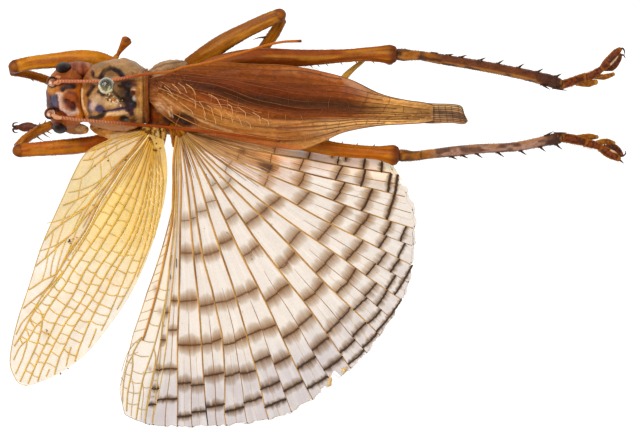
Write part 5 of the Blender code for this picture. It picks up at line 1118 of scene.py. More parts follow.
def trunk():
    def relief(g):
        U, V, Z = g["U"], g["V"], g["Z"]
        up = ease((Z - 14.2) / 1.5)
        d = 0.16 * stroke(U, V, [(81, 62), (80.8, 98), (84, 124)], 1.6, 0.9) + 0.22 * stroke(U, V, [(147, 66), (147.2, 98), (147, 126)], 1.3, 0.8)
        d -= 0.22 * stroke(U, V, [(144.3, 66), (144.6, 98), (144.3, 126)], 1.5, 0.9)
        d -= 0.20 * stroke(U, V, [(86, 80), (85.5, 98), (88, 114)], 2.0, 0.9)
        d -= 0.28 * blob(U, V, 131.5, 101, 5.6, 6.4, 0, 0.8) + 0.22 * blob(U, V, 127, 85, 6, 4, 0, 0.8) - 0.20 * blob(U, V, 134, 98.5, 1.8, 2.3)
        d -= 0.16 * stroke(U, V, [(101, 77), (105, 70.5), (112, 68), (119, 72), (124, 77)], 2.0, 0.9)
        d -= 0.16 * blob(U, V, 101, 109.5, 5, 4, 0, 0.8) + 0.14 * stroke(U, V, [(104, 113), (116, 110), (126, 108.6)], 1.3, 0.9)
        d -= 0.15 * blob(U, V, 125, 119.5, 5, 3.4, 0, 0.7) + 0.12 * stroke(U, V, [(90, 118.5), (97, 117), (104, 112.5)], 1.6, 0.9)
        d -= 0.12 * stroke(U, V, [(92.5, 86), (88, 95)], 1.6, 0.9) - 0.10 * blob(U, V, 96, 108, 5, 4, 0, 0.9) - 0.13 * blob(U, V, 140, 105, 4, 12, 0, 0.9)
        return d * up + 0.13 * (noise(U * 0.22, V * 0.22, Z, 2) - 0.5) + 0.05 * (noise(U * 0.9, V * 0.9, Z * 4, 3) - 0.5) + 0.02 * (noise(U * 2.6, V * 2.6, Z * 9, 6) - 0.5)

    base = lambda g: mixed(mixed(lin(182, 138, 96), lin(150, 104, 62), noise(g["U"] * 0.18, g["V"] * 0.18, g["Z"], 4)), lin(126, 80, 46), 0.75 * ease((noise(g["U"] * 0.22, g["V"] * 0.3, 2.0, 14) - 0.52) / 0.2)) * (0.80 + 0.40 * noise(g["U"] * 0.9, g["V"] * 0.9, g["Z"] * 3, 5))[..., None] * (1 - 0.35 * ease((noise(g["U"] * 1.3, g["V"] * 1.3, 1.0, 31) - 0.60) / 0.1) * ease((g["U"] - 112) / 20))[..., None]
    paint = layered(base, [
        spot(102, 60, 30, 8, (150, 112, 66), 0.8, 0, 0.3), spot(128, 66, 18, 7, (158, 124, 88), 0.8, -8), spot(104, 74, 12, 5, (166, 128, 84), 0.6), line([(92, 64), (110, 62.6), (128, 62)], 1.2, (126, 86, 46), 0.6), spot(84, 95, 4.4, 22, (176, 112, 54), 0.7, 0, 0.5),
        spot(104, 100, 13, 9, (192, 152, 110), 0.7, 0, 0.6), line([(82, 90), (81.4, 98), (82.6, 106), (87, 115)], 1.3, (234, 186, 140), 0.92), line([(83, 112), (89, 123)], 2.4, (200, 126, 48), 0.75), spot(97, 101, 5, 4, (208, 174, 140), 0.6, 20, 0.7),
        # the violet tints of the dark marks at (89, 106), (99.6, 109) and along (104 to 125, 110) are painted sheen
        line([(89.5, 101.5), (88.6, 106), (90, 111)], 2.2, (82, 66, 78), 0.85, 0.8), spot(93.4, 106, 3.4, 4.4, (224, 192, 176), 0.85, 30, 0.6),
        spot(99.6, 109.0, 4.6, 4.2, (76, 68, 96), 0.95, 25), line([(104, 112.4), (110, 111.8), (117, 110), (125, 108.4)], 1.7, (66, 46, 74), 0.95), line([(106, 115), (116, 113.6), (126, 112.2)], 1.9, (230, 188, 140), 0.9),
        spot(112, 118.5, 10, 3.0, (190, 104, 40), 0.85), line([(104.5, 113.4), (101.4, 116.6), (96, 118.4), (90, 119)], 2.0, (46, 32, 24), 0.95),
        spot(92.5, 73.4, 2.1, 4.6, (24, 10, 18), 0.98, -14, 0.4), line([(93.6, 77.4), (98, 78.2)], 1.0, (80, 40, 34), 0.8),
        spot(108.6, 75.4, 6, 4.4, (146, 118, 82), 0.85), line([(100.6, 77.6), (102.2, 74), (104.6, 71), (107.6, 69), (111, 68.2), (114.4, 68.8), (117.4, 70.4), (120, 72.8), (122.2, 75.4), (124.4, 78.4)], 2.6, (28, 12, 16), 0.98), spot(119.4, 72.4, 4.6, 3.0, (24, 12, 18), 0.95, 40), spot(111, 73.6, 8, 3.4, (112, 74, 44), 0.75, 8),
        line([(93.2, 86.8), (90.0, 91), (87.6, 95)], 2.4, (42, 16, 12), 0.94, 0.7), spot(99.0, 91.6, 2.4, 2.2, (44, 16, 14), 0.92), spot(103, 94.4, 3.2, 2.4, (38, 12, 12), 0.95),
        # the dark olive-brown patch at (121, 91) beside the pin is partly its own dark colour, partly painted shadow of
        # the pin
        spot(121, 91, 10, 9, (98, 66, 38), 0.85, 35, 0.6), spot(126.4, 84.2, 6.0, 4.4, (22, 18, 22), 0.98, 5), line([(131, 84.4), (135, 84.8), (139.4, 85.4)], 1.7, (70, 32, 20), 0.95), line([(129, 81.2), (134, 81.0)], 1.5, (56, 28, 22), 0.9), line([(134, 81), (142.5, 80.6)], 1.0, (126, 66, 34), 0.8),
        spot(124, 79, 4, 1.6, (150, 84, 60), 0.7), line([(127.5, 87.5), (126.4, 92), (128.6, 97)], 3.2, (26, 12, 10), 0.94), spot(133.2, 92.6, 2.8, 2.6, (78, 26, 16), 0.94), line([(131.5, 89.0), (134.6, 89.6)], 0.9, (214, 170, 134), 0.8),
        # on the big black mark: the pale spot at (134.2, 98.8) is a painted highlight and the bluish spot at (130,
        # 104.6) a painted reflection
        spot(130.6, 102.4, 6.4, 7.0, (18, 14, 22), 0.98, 10), spot(125.6, 99.6, 3.8, 3.6, (26, 19, 18), 0.92), spot(134.2, 98.8, 2.0, 3.0, (200, 180, 164), 0.92, -15), spot(130, 104.6, 2.4, 1.4, (70, 82, 98), 0.6),
        # the grey spot at (126, 120.6) on the black mark is a painted highlight
        line([(129, 107), (130.6, 110.5), (131.6, 113.6)], 2.6, (54, 28, 42), 0.94), line([(126, 109), (133, 109)], 1.2, (60, 30, 40), 0.8), spot(124.0, 119.4, 5.2, 3.6, (26, 22, 22), 0.97), spot(126, 120.6, 2, 1.2, (110, 114, 108), 0.6), spot(132.6, 120.6, 3.2, 2.0, (82, 42, 18), 0.88),
        spot(141, 100, 4.6, 24, (184, 132, 78), 0.75, 0, 0.5), spot(138, 92, 2.4, 5, (136, 80, 36), 0.7), spot(139, 112, 3, 6, (214, 170, 114), 0.6), spot(138.6, 104, 1.4, 4, (120, 66, 28), 0.6),
        line([(144.2, 66), (144.6, 98), (144.2, 126)], 1.5, (128, 78, 38), 0.8), line([(147, 66), (147.3, 98), (147, 126)], 1.1, (132, 62, 34), 0.9),
        spot(126, 94, 6, 11, (52, 30, 20), 0.75, 0, 0.9), spot(122.6, 99, 2.6, 2.0, (20, 12, 12), 0.95, 30), spot(128, 92.6, 2.0, 3.4, (18, 12, 14), 0.95, 10), spot(134.6, 105, 2.2, 3.4, (24, 14, 18), 0.95), spot(127.6, 110.6, 2.6, 1.8, (30, 18, 22), 0.9), spot(119.6, 86, 2.4, 1.6, (30, 16, 14), 0.85, 30),
        spot(88, 80, 3, 8, (132, 78, 44), 0.7, 8, 0.8), spot(100, 66, 9, 4, (130, 92, 56), 0.6, -6, 0.8), spot(118, 62, 12, 3, (186, 146, 104), 0.6), spot(113, 104, 7, 3, (214, 178, 132), 0.7, 0, 0.8), spot(143, 76, 3, 8, (166, 118, 72), 0.6),
        line([(103, 126.6), (109, 127.2), (114.5, 128.6)], 1.2, (60, 42, 34), 0.85), spot(120, 129, 26, 5, (186, 122, 64), 0.85, 3), spot(104, 124, 16, 4, (186, 122, 66), 0.6, 0, 0.8), spot(86, 70, 5, 11, (146, 84, 52), 0.8, 12, 0.8), spot(112, 58, 34, 4, (166, 124, 88), 0.7)])
    table = [(0, 95.5, 29, 14.4, 2.6, 2.2), (0.06, 95.5, 31.4, 14.4, 3.0, 2.5), (0.3, 95.0, 35.2, 14.4, 3.3, 3.0), (0.55, 94.5, 36.6, 14.4, 3.4, 3.0), (0.75, 95.0, 34.0, 14.4, 3.3, 3.0), (0.9, 95.5, 28.5, 14.3, 3.2, 2.8), (1, 96, 26.5, 14.3, 3.15, 2.7)]
    S = Shape()
    saddle(S, (80.2, 148.6), 12.0, table, 2.25, paint, relief, 150, 240)
    kept(S.done("pronotum_shell", HIDE), "cuticle", "pronotum")
    S = Shape()
    wing_base = layered(lambda g: mixed(lin(120, 60, 26), lin(160, 92, 44), noise(g["U"] * 0.4, g["V"] * 0.4, g["Z"], 2)), [
        # the near-black spot at (172, 119) is painted shade in the hollow at the wing root
        line([(151, 72), (151.5, 120)], 2.2, (92, 38, 20), 0.7), spot(162, 106, 5.5, 6.5, (206, 176, 156), 0.85, 35), spot(172, 119, 9, 5, (50, 30, 28), 0.9), line([(163, 104), (169, 116)], 0.9, (236, 206, 180), 0.9), line([(168, 104), (170.5, 118)], 0.8, (220, 190, 176), 0.8),
        spot(160, 72, 12, 6, (158, 130, 104), 0.85, 10), spot(155, 117, 4, 4, (140, 62, 24), 0.7)])
    ridges = lambda g: 0.14 * (noise(g["U"] * 0.35, g["V"] * 0.35, g["Z"] * 1.5, 2) - 0.5) + 0.10 * stroke(g["U"], g["V"], [(158, 98), (170, 110), (178, 118)], 1.6, 0.9) - 0.2 * blob(g["U"], g["V"], 171, 118, 7, 4) - 0.2 * stroke(g["U"], g["V"], [(149.5, 70), (149.5, 124)], 1.2, 0.9)
    saddle(S, (146.6, 180.5), 0.0, [(0, 97, 27.0, 13.4, 2.5, 2.6), (0.15, 97, 28.5, 13.4, 2.75, 2.8), (0.6, 97, 30, 13.4, 2.75, 2.9), (1, 97, 26, 13.2, 2.5, 2.6)], 2.2, wing_base, ridges, 70, 160)
    # plates beside the wing roots, seen outside the folded wing
    flank = layered(lambda g: mixed(lin(150, 118, 90), lin(176, 140, 104), noise(g["U"] * 0.3, g["V"] * 0.5, 0, 3)), [line([(152, 69), (166, 64), (186, 61)], 0.8, (92, 62, 44), 0.8), line([(156, 74), (178, 68)], 0.8, (120, 84, 60), 0.7)])
    S.tube([(153, 74, 13.8, 5.5, 9), (160, 70, 14.0, 7.2, 10), (172, 66.5, 14.0, 7.0, 10), (184, 65.5, 13.8, 5.0, 8)], 40, 40, flank, relief=lambda g: 0.10 * (noise(g["U"] * 0.5, g["V"] * 0.5, g["Z"] * 2) - 0.5))
    S.tube([(150, 122, 13.2, 4, 6), (162, 127, 13.4, 5.5, 8), (176, 129, 13.4, 6, 8), (188, 126, 13.0, 4.5, 7)], 40, 40, layered(plain(140, 84, 44), [line([(160, 128), (182, 128)], 1.0, (84, 46, 26), 0.6)]), relief=lambda g: 0.10 * (noise(g["U"] * 0.5, g["V"] * 0.5, g["Z"] * 2) - 0.5))
    # painted light: the side lobes' colour is made lighter to offset the shade they lie in
    lobe_lightened = layered(lambda g: mixed(lin(236, 184, 122), lin(204, 138, 72), noise(g["U"] * 0.25, g["V"] * 0.6, 0, 3)), [
        line([(99, 127.5), (108, 127.6), (114.5, 129)], 1.3, (76, 48, 34), 0.8), line([(112, 136), (126, 133.6), (146, 131)], 1.5, (240, 216, 176), 0.85), line([(94, 131), (104, 135)], 2.0, (186, 112, 46), 0.8), line([(116, 131), (140, 128)], 1.1, (150, 92, 46), 0.7), spot(142, 131, 6, 2.4, (196, 132, 66), 0.7)])
    S.tube([(93, 127.0, 12.6, 3.4, 6), (101, 130.0, 12.8, 6.0, 8), (114, 131.6, 13.0, 7.2, 9), (130, 131.2, 13.0, 6.8, 9), (146, 131, 13.0, 5.6, 8), (155, 130, 13, 5, 8)], 80, 40, lobe_lightened, relief=ridges)
    S.tube([(110, 136, 12.6, 4, 5), (126, 134.6, 13.4, 3.6, 5), (146, 132.4, 14.6, 3.6, 6)], 50, 30, lobe_lightened, relief=lambda g: 0.06 * (noise(g["U"] * 0.5, g["V"] * 0.5, g["Z"] * 2) - 0.5))
    hinge = layered(lambda g: mixed(lin(222, 176, 104), lin(120, 72, 30), ease((noise(g["U"] * 0.55, g["V"] * 0.55, 0, 5) - 0.35) / 0.4)), [spot(150, 139, 2.0, 2.4, (86, 50, 20), 0.8), spot(154.5, 147, 1.8, 2.2, (96, 56, 22), 0.8), spot(158, 134, 2.0, 3.0, (232, 200, 140), 0.7), line([(146, 131), (150, 146)], 0.9, (120, 70, 28), 0.7), line([(160, 132), (161, 147)], 0.9, (128, 76, 32), 0.7)])
    rough = lambda g: 0.16 * (noise(g["U"] * 0.5, g["V"] * 0.5, g["Z"] * 2, 7) - 0.5)
    S.tube([(146.5, 130, 14.9, 4.0, 8), (149, 138, 15.6, 4.6, 7), (152, 147, 16.0, 3.2, 4)], 40, 30, hinge, relief=rough)
    S.tube([(155, 130, 14.8, 4.4, 8), (156.5, 138, 15.5, 4.8, 7), (157, 147, 15.9, 3.4, 4)], 40, 30, hinge, relief=rough)
    S.tube([(163, 131, 14.4, 3.4, 7), (163.5, 138, 15.2, 2.6, 5), (162.6, 146, 15.9, 1.8, 3)], 30, 24, hinge, relief=rough)
    S.tube([(172, 128, 14.2, 3.0, 7), (172.6, 136, 14.9, 2.2, 5), (173.6, 146, 15.2, 1.4, 3)], 30, 24, layered(plain(176, 112, 46), [line([(172, 128), (173.4, 146)], 0.6, (104, 58, 26), 0.8)]), relief=rough)
    S.tube([(174, 127, 14.2, 4.4, 7), (177, 133, 14.7, 4.6, 5), (179, 141, 14.9, 3.0, 3)], 30, 30, layered(plain(168, 98, 44), [line([(174, 128), (178, 140)], 0.9, (96, 52, 24), 0.8)]), relief=rough)
    S.tube([(180, 127, 14.3, 5.0, 7), (184, 132, 14.8, 4.4, 5), (190, 138, 15.0, 2.6, 3)], 30, 30, layered(plain(186, 124, 56), [line([(176, 128), (184, 138)], 0.8, (104, 58, 26), 0.8), line([(182, 128), (190, 138)], 0.8, (120, 68, 30), 0.8)]), relief=rough)
    kept(S.done("wing_thorax", HIDE), "cuticle", "pterothorax")
    S = Shape()
    bands = lambda g: -0.10 * ease((np.cos((g["U"] - 183) / 18.2 * TAU) - 0.80) / 0.15) + 0.04 * (noise(g["U"] * 0.6, g["V"] * 0.6, g["Z"] * 2) - 0.5)
    belly = lambda g: mixed(mixed(lin(170, 112, 58), lin(120, 70, 36), ease((g["Z"] - 12.5) / 1.5)), lin(92, 50, 28), 0.7 * ease((np.cos((g["U"] - 183) / 18.2 * TAU) - 0.75) / 0.2)) * (0.88 + 0.24 * noise(g["U"] * 0.5, g["V"] * 0.5, g["Z"]))[..., None]
    S.tube([(181, 97, 12.9, 21, 23.5), (200, 97, 12.6, 22.5, 27), (225, 97, 12.3, 22.8, 29), (250, 97, 12.2, 22.8, 29), (280, 96.7, 12.2, 22.2, 28), (305, 95.5, 12.3, 20.3, 25), (324, 94.5, 12.3, 16.5, 20), (333, 94, 12.3, 13, 16)], 120, 90, belly, relief=bands, tip=(0.1, 0.5))
    S.ball(336, 94, 11.2, 7, 9, 0.9, belly)
    kept(S.done("abdomen", HIDE), "cuticle", "abdomen_front", "abdomen_rear")
    S = Shape()
    # painted light: the cerci are lighter on their upper side
    gold = lambda g: mixed(lin(150, 104, 44), lin(196, 152, 78), ease(np.sin(g["A"])) * 0.8 + 0.2 * noise(g["U"] * 0.8, g["V"] * 0.8))
    ringed = lambda g: 0.02 * np.cos(g["S"] * 150)
    S.tube([(339, 84, 12.35, 3, 3), (346, 75.5, 12.1, 3.3, 3), (354, 68, 11.8, 2.6, 2.6), (362, 61.5, 11.5, 2.2, 2.2), (370, 54, 11.2, 1.4, 1.4)], 90, 18, gold, relief=ringed)
    S.tube([(342, 98, 12.2, 3, 3), (354, 104, 12, 2.8, 2.8), (366, 109.5, 11.8, 1.6, 1.8)], 70, 18, gold, relief=ringed)
    kept(S.done("cerci", LEG), "leg_amber", "cercus_left", "cercus_right")


trunk()


# ---------------------------------------------------------------- legs
def amber_leg(top=(160, 90, 34), low=(182, 112, 46), dark=(120, 60, 26), seed=1, end=0.94, lit_top_colour=(208, 146, 74)):
    def paint(g):
        streak = noise(g["S"] * 4, g["A"] * 3.6, 0, seed)
        fine = noise(g["S"] * 24, g["A"] * 9.0, 0, seed + 1)
        side = np.abs(np.cos(g["A"]))
        col = mixed(lin(*top), lin(*low), ease((streak - 0.3) / 0.4))
        col = mixed(col, lin(*dark), 0.5 * ease((noise(g["S"] * 3, g["A"] * 1.8, 0, seed + 5) - 0.45) / 0.4))
        # painted light: lighter amber along the top of the limb, away from its sides
        col = mixed(col, lin(*lit_top_colour), 0.4 * ease((noise(g["S"] * 5, g["A"] * 3, 0, seed + 7) - 0.5) / 0.3) * ease((0.9 - side) / 0.3))
        col = col * (0.92 + 0.16 * fine)[..., None]
        # painted shade: dark along the limb's sides
        col = mixed(col, lin(78, 44, 20), 0.8 * ease((side - 0.88) / 0.09))
        return mixed(col, lin(92, 44, 22), 0.9 * ease((g["S"] - end) / (1.0 - end + 1e-6)))
    return paint


def shin(flip, seed):
    def paint(g):
        U, c = g["U"], np.cos(g["A"]) * -flip
        patch, fine = noise(g["S"] * 20, g["A"] * 1.7, 0, seed), noise(g["S"] * 60, g["A"] * 3.4, 0, seed + 1)
        body = mixed(lin(112, 62, 34), lin(90, 50, 30), fine) if flip < 0 else mixed(lin(176, 138, 118), lin(140, 102, 84), fine)
        col = mixed(mixed(lin(164, 104, 44), lin(136, 80, 34), fine), body, ease((U - 422) / 26))
        col = mixed(col, lin(70, 38, 26), (0.85 if flip < 0 else 0.75) * ease((patch - 0.40) / 0.36))
        col = mixed(col, lin(174, 116, 62), 0.8 * ease((c - 0.30) / 0.3) * ease((0.68 - patch) / 0.3))
        col = mixed(col, lin(62, 34, 24), 0.85 * np.clip(ease((404 - U) / 4) * ease((0.6 - c) / 0.5) + ease((U - 541) / 9) + ease((1.6 - np.abs(U - 421)) / 1.0) * 0.7, 0, 1))
        # painted shade: dark along the shin's sides
        return mixed(col, lin(60, 34, 22), 0.75 * ease((np.abs(c) - 0.9) / 0.07))
    return paint


RED = lambda g: mixed(lin(98, 50, 24), lin(136, 74, 34), noise(g["U"] * 0.7, g["V"] * 0.7, g["Z"] * 3, 6))


def toe(mid=(118, 58, 24), rim=(168, 104, 46), dark=(74, 34, 16)):
    def paint(g):
        n = noise(g["U"] * 0.6, g["V"] * 0.6, g["Z"] * 3, 6)
        col = mixed(lin(*mid), lin(*dark), ease((n - 0.35) / 0.3))
        col = mixed(col, lin(*rim), np.clip(0.85 * ease((np.abs(np.cos(g["A"])) - 0.62) / 0.25) + 0.7 * ease((np.abs(g["S"] - 0.5) - 0.40) / 0.07), 0, 0.9) * (0.45 + 0.55 * n))
        # painted shade: darkest right at the sides
        return mixed(col, lin(70, 36, 16), 0.7 * ease((np.abs(np.cos(g["A"])) - 0.955) / 0.03))
    return paint


TOE, PAD, SOLE = toe(), toe((150, 92, 38), (190, 138, 70), (112, 62, 24)), toe((92, 44, 20), (150, 88, 42), (58, 28, 16))
ROUGH = lambda g: 0.05 * (noise(g["U"] * 0.7, g["V"] * 0.7, g["Z"] * 3, 3) - 0.5) + 0.02 * (noise(g["U"] * 2.2, g["V"] * 2.2, g["Z"] * 9, 4) - 0.5)


def keel(deep=0.06, lines=(0.6, 2.5)):
    """Lengthwise ridges and dents of a dried limb."""
    return lambda g: ROUGH(g) + sum(deep * np.exp(-((g["A"] - a) / 0.16) ** 2) for a in lines) - deep * 1.4 * np.exp(-((g["A"] - pi / 2) / 0.5) ** 2) * ease((noise(g["S"] * 5, 1.0, 0, 8) - 0.3) / 0.4)


def hairs(tubes, rows, number, rng, reach=2.4, tone=(190, 136, 78), spread=1.0):
    path = smooth(rows, 60)
    for _ in range(number):
        i = rng.integers(2, 57)
        run = path[i + 1, :2] - path[i - 1, :2]
        run /= np.linalg.norm(run) + 1e-9
        a = rng.choice([0.0, pi]) + rng.normal(0, 0.45)
        cross = np.array([-run[1], run[0]])
        w, h = path[i, 3] * 0.96, path[i, 4] * 0.96
        root = (path[i, 0] + cross[0] * w * cos(a), path[i, 1] + cross[1] * w * cos(a), path[i, 2] + h * sin(a) * UNIT / MM)
        out = reach * rng.uniform(0.6, 1.2)
        point = (root[0] + cross[0] * cos(a) * out * 0.6 + run[0] * out * 0.8, root[1] + cross[1] * cos(a) * out * 0.6 + run[1] * out * 0.8, root[2] + sin(a) * out * 0.6 * UNIT / MM)
        spike(tubes, root, point, 0.14, lin(*tone), 0.1, 4)


def edge(path, u, side):
    """A place on one side of a shin (+1 left, -1 right) at that u, from its smooth rows."""
    i = int(np.argmin(np.abs(path[:, 0] - u)))
    j, k = min(i + 1, len(path) - 1), max(i - 1, 0)
    run = path[j, :2] - path[k, :2]
    run /= np.linalg.norm(run)
    cross = np.array([-run[1], run[0]]) * side
    return path[i, :2] + cross * path[i, 3] * 0.8, path[i, 2]


def hind_legs():
    rng = np.random.default_rng(3)
    femur_r = [(200, 69.5, 12.2, 5.5, 9), (217, 64.3, 12.8, 8.2, 15.0), (239, 60.0, 13.0, 9.8, 18.0), (262, 58.2, 13, 10.2, 18), (300, 58.0, 13.1, 8.6, 14), (345, 55.8, 13.2, 6.6, 9.5), (366, 54.4, 13.2, 7.0, 8.6), (381, 54.2, 13.2, 8.4, 8.6), (389.5, 54.4, 13.2, 9.8, 8.8), (394.0, 54.4, 13.2, 8.6, 8.2)]
    femur_l = [(200, 124.8, 11.8, 5.6, 9), (217, 129.3, 12.5, 8.6, 15.5), (240, 132.3, 12.85, 9.9, 18.5), (262, 135.2, 13, 9.9, 18), (300, 141.6, 13.1, 8.6, 14), (331, 148.4, 13.15, 7.2, 10.5), (352, 151.0, 13.2, 6.7, 9), (376, 152.7, 13.2, 6.8, 8.5), (388, 154.0, 13.2, 9.0, 8.8), (393.4, 154.7, 13.2, 9.9, 8.8), (396.4, 154.8, 13.2, 8.6, 8.2)]
    TIBIA_HR = [(398, 54.4, 13.0, 6.0, 5.8), (404, 54.8, 13.0, 6.3, 5.8), (412, 55.2, 13.0, 5.2, 5.4), (420, 55.6, 13.0, 4.7, 5.2), (437, 58.5, 12.9, 5.2, 5.2), (478, 65.3, 12.8, 5.4, 5.2), (516, 72.6, 12.7, 5.6, 5.4), (544, 79.2, 12.6, 6.2, 5.4), (555, 82.2, 12.6, 6.6, 5.2)]
    TIBIA_HL = [(400, 155.3, 13.0, 6.0, 6), (404, 155.5, 13, 6.2, 5.8), (413, 156, 13, 5.1, 5.5), (432.5, 153.8, 12.9, 4.7, 5.1), (454, 151.4, 12.9, 5.2, 5.1), (478.5, 148.9, 12.8, 4.8, 5.1), (503, 147.7, 12.7, 4.6, 5.1), (519.5, 146.2, 12.7, 4.8, 5.1), (544, 141.2, 12.6, 5.2, 5.2), (556, 138.8, 12.6, 6.2, 5.2)]
    for name, femur, tibia, top, lower, flip in (("right", femur_r, TIBIA_HR, (126, 64, 21), (151, 82, 29), -1), ("left", femur_l, TIBIA_HL, (168, 92, 34), (186, 108, 44), 1)):
        S, T = Shape(), Tubes(7)
        v_knee = femur[-1][1]
        S.tube([(186.5, 97 + flip * 11, 9.2, 7.0, 5.8), (194, 97 + flip * 20, 10.0, 6.6, 6), (200, 97 + flip * 26, 11.4, 5.4, 6.5)], 26, 30, amber_leg(seed=9), relief=ROUGH)
        S.tube(femur, 170, 72, amber_leg(top, lower, (116, 50, 20), 2 + flip, 0.955), tip=(0.7, 0.42), relief=keel(0.10, (0.5, 2.6)))
        S.ball(femur[-2][0], v_knee + 7.0, 12.9, 4.6, 3.6, 0.6, RED, relief=ROUGH)
        S.ball(femur[-2][0], v_knee - 6.6, 12.9, 4.4, 3.2, 0.6, RED, relief=ROUGH)
        S.tube(tibia, 220, 48, shin(flip, 5 + flip), tip=(0.5, 0.5), relief=keel(0.07, (0.9, 2.2)))
        S.ball(557.5, tibia[-1][1] + (1.0 if flip < 0 else -0.4), 12.5, 6.0, 5.8, 0.55, layered(plain(66, 38, 24), [spot(561, tibia[-1][1], 1.2, 2.6, (150, 98, 52), 0.7), spot(556, tibia[-1][1] - 3, 2.4, 1.4, (140, 88, 50), 0.7)]), relief=ROUGH)
        path = smooth(tibia, 400)
        tips = [(439, 53), (454, 54), (467, 55), (486, 57.6), (504, 60), (524.5, 63.6), (543.6, 68.6), (562, 73.6)] if flip < 0 else [(457.5, 159.5), (468.5, 158.4), (483, 158.2), (504.5, 157.2), (527, 155.2), (546, 151.7), (562.5, 149.6)]
        others = [(550, 89.5), (567, 90.5)] if flip < 0 else [(553.5, 131.4), (567, 132.8)]
        for group, side in ((tips, flip), (others, -flip)):
            for tu, tv in group:
                root, z = edge(path, tu - 7.5, side)
                spike(T, (root[0], root[1], z + 0.12), (tu, tv, z + 0.2), 1.6, lin(62, 36, 26), 0.03 * side)
                spike(T, (root[0], root[1], z + 0.10), (root[0] + 1.8, root[1] + side * 1.3, z + 0.13), 2.5, lin(92, 54, 34), 0.0)
        for s in np.linspace(0.3, 0.95, 9):      # the hidden lower row
            p = path[int(s * 399)]
            spike(T, (p[0], p[1] + flip * 2.4, p[2] - 0.38), (p[0] + 6, p[1] + flip * 3.6, p[2] - 0.72), 1.0, lin(80, 46, 32))
        for tu in (313, 320, 329, 343, 358, 375):   # short thorns under the thigh
            path_f = smooth(femur, 300)
            root, z = edge(path_f, tu - 3, -flip)
            spike(T, (root[0], root[1], z - 0.25), (tu, root[1] - flip * 3.6, z - 0.35), 0.9, lin(84, 44, 26))
        hairs(T, tibia, 260, rng)
        hairs(T, femur, 120, rng, 2.0)
        if flip < 0:
            S.tube([(562, 84.9, 12.35, 4.6, 3.6), (574, 80.9, 12.1, 4.5, 3.4), (584.5, 77.0, 11.9, 4.2, 3.2)], 40, 30, TOE, relief=ROUGH)
            S.tube([(577, 83.6, 11.75, 2.4, 2.6), (588, 83.6, 11.65, 3.6, 2.8), (596, 82.0, 11.6, 2.6, 2.2)], 30, 24, PAD, relief=ROUGH)
            S.tube([(584, 77.8, 11.9, 4.4, 3.0), (592, 75.4, 11.85, 4.2, 3.0), (598, 71.4, 11.75, 3.8, 2.8), (602, 68.4, 11.7, 3.0, 2.6)], 40, 28, TOE, relief=ROUGH)
            S.tube([(594, 76.6, 11.6, 2.4, 2.4), (604, 76.9, 11.5, 3.0, 2.4), (613.5, 74.2, 11.45, 2.0, 2.0)], 30, 24, PAD, relief=ROUGH)
            S.tube([(601.5, 69.0, 11.7, 3.2, 2.6), (606.6, 63.8, 11.75, 4.8, 3.0), (612.0, 57.8, 11.75, 4.6, 3.0), (617.0, 52.0, 11.7, 3.8, 2.6), (619.8, 49.2, 11.7, 2.4, 2.0)], 40, 28, layered(TOE, [line([(611, 64.5), (618, 57)], 0.8, (230, 196, 160), 0.9)]), relief=ROUGH)
            S.tube([(605, 68.4, 11.45, 3.0, 2.4), (611.6, 66.4, 11.45, 4.6, 2.8), (617.6, 60.0, 11.5, 3.6, 2.6), (620, 55, 11.5, 2.4, 2.2)], 36, 24, SOLE, relief=ROUGH)
            claws = [[(619.5, 50.6, 11.7), (622.5, 48.4, 11.75), (624.6, 51.4, 11.65), (624.4, 54.4, 11.5)], [(619, 55, 11.6), (623.4, 55.2, 11.6), (625.4, 58.2, 11.5)]]
        else:
            S.tube([(562, 137.4, 12.3, 4.8, 3.6), (574, 139.4, 12.1, 5.0, 3.4), (586.5, 142.6, 11.9, 4.2, 3.2)], 40, 30, TOE, relief=ROUGH)
            S.tube([(577, 137.4, 11.75, 2.6, 2.6), (588, 136.8, 11.65, 3.4, 2.8), (597, 136.9, 11.6, 2.2, 2.0)], 30, 24, PAD, relief=ROUGH)
            S.tube([(585, 143.2, 11.9, 4.0, 3.0), (593, 144.4, 11.85, 4.2, 3.0), (601, 147.6, 11.75, 3.2, 2.8)], 40, 28, TOE, relief=ROUGH)
            S.tube([(597, 142.8, 11.6, 2.6, 2.4), (606, 141.4, 11.5, 3.0, 2.4), (614, 143, 11.45, 2.0, 2.0)], 30, 24, PAD, relief=ROUGH)
            S.tube([(600, 148.6, 11.7, 3.2, 2.6), (606.6, 151.8, 11.75, 4.8, 3.0), (613, 155.4, 11.75, 4.6, 3.0), (618.6, 158.6, 11.7, 3.0, 2.2)], 40, 28, layered(TOE, [line([(611, 150.4), (619.5, 153.4)], 0.8, (230, 196, 160), 0.9)]), relief=ROUGH)
            S.tube([(605, 147.4, 11.45, 3.0, 2.4), (612.4, 147.6, 11.45, 4.4, 2.8), (618.6, 151.4, 11.5, 3.6, 2.4), (621.4, 154.4, 11.5, 2.2, 2.0)], 36, 24, SOLE, relief=ROUGH)
            claws = [[(619, 155.4, 11.6), (622.6, 156, 11.65), (625.6, 153.6, 11.6), (625.4, 150.8, 11.5)], [(618.4, 159, 11.7), (622, 161.8, 11.7), (623.6, 163.4, 11.6)]]
        for c in claws:
            c = smooth([(*p, 1, 1) for p in c], 14)
            T.add(at(c[:, 0], c[:, 1], c[:, 2]), np.linspace(1.5, 0.35, 14) * UNIT, lin(74, 36, 22))
        hairs(T, [(564, 84.6 if flip < 0 else 138, 12.2, 4.6, 3.4), (600, 72 if flip < 0 else 147, 11.8, 4.4, 3)], 90, rng, 2.2)
        kept(S.done("hind_leg_" + name, LEG), "leg_amber", "femur_hind_" + name, "coxa_hind_" + name, "tibia_hind_" + name, "tarsus_hind_" + name)
        kept(T.done("hind_thorns_" + name, FOOT), "leg_dark", "tibia_hind_" + name)


hind_legs()


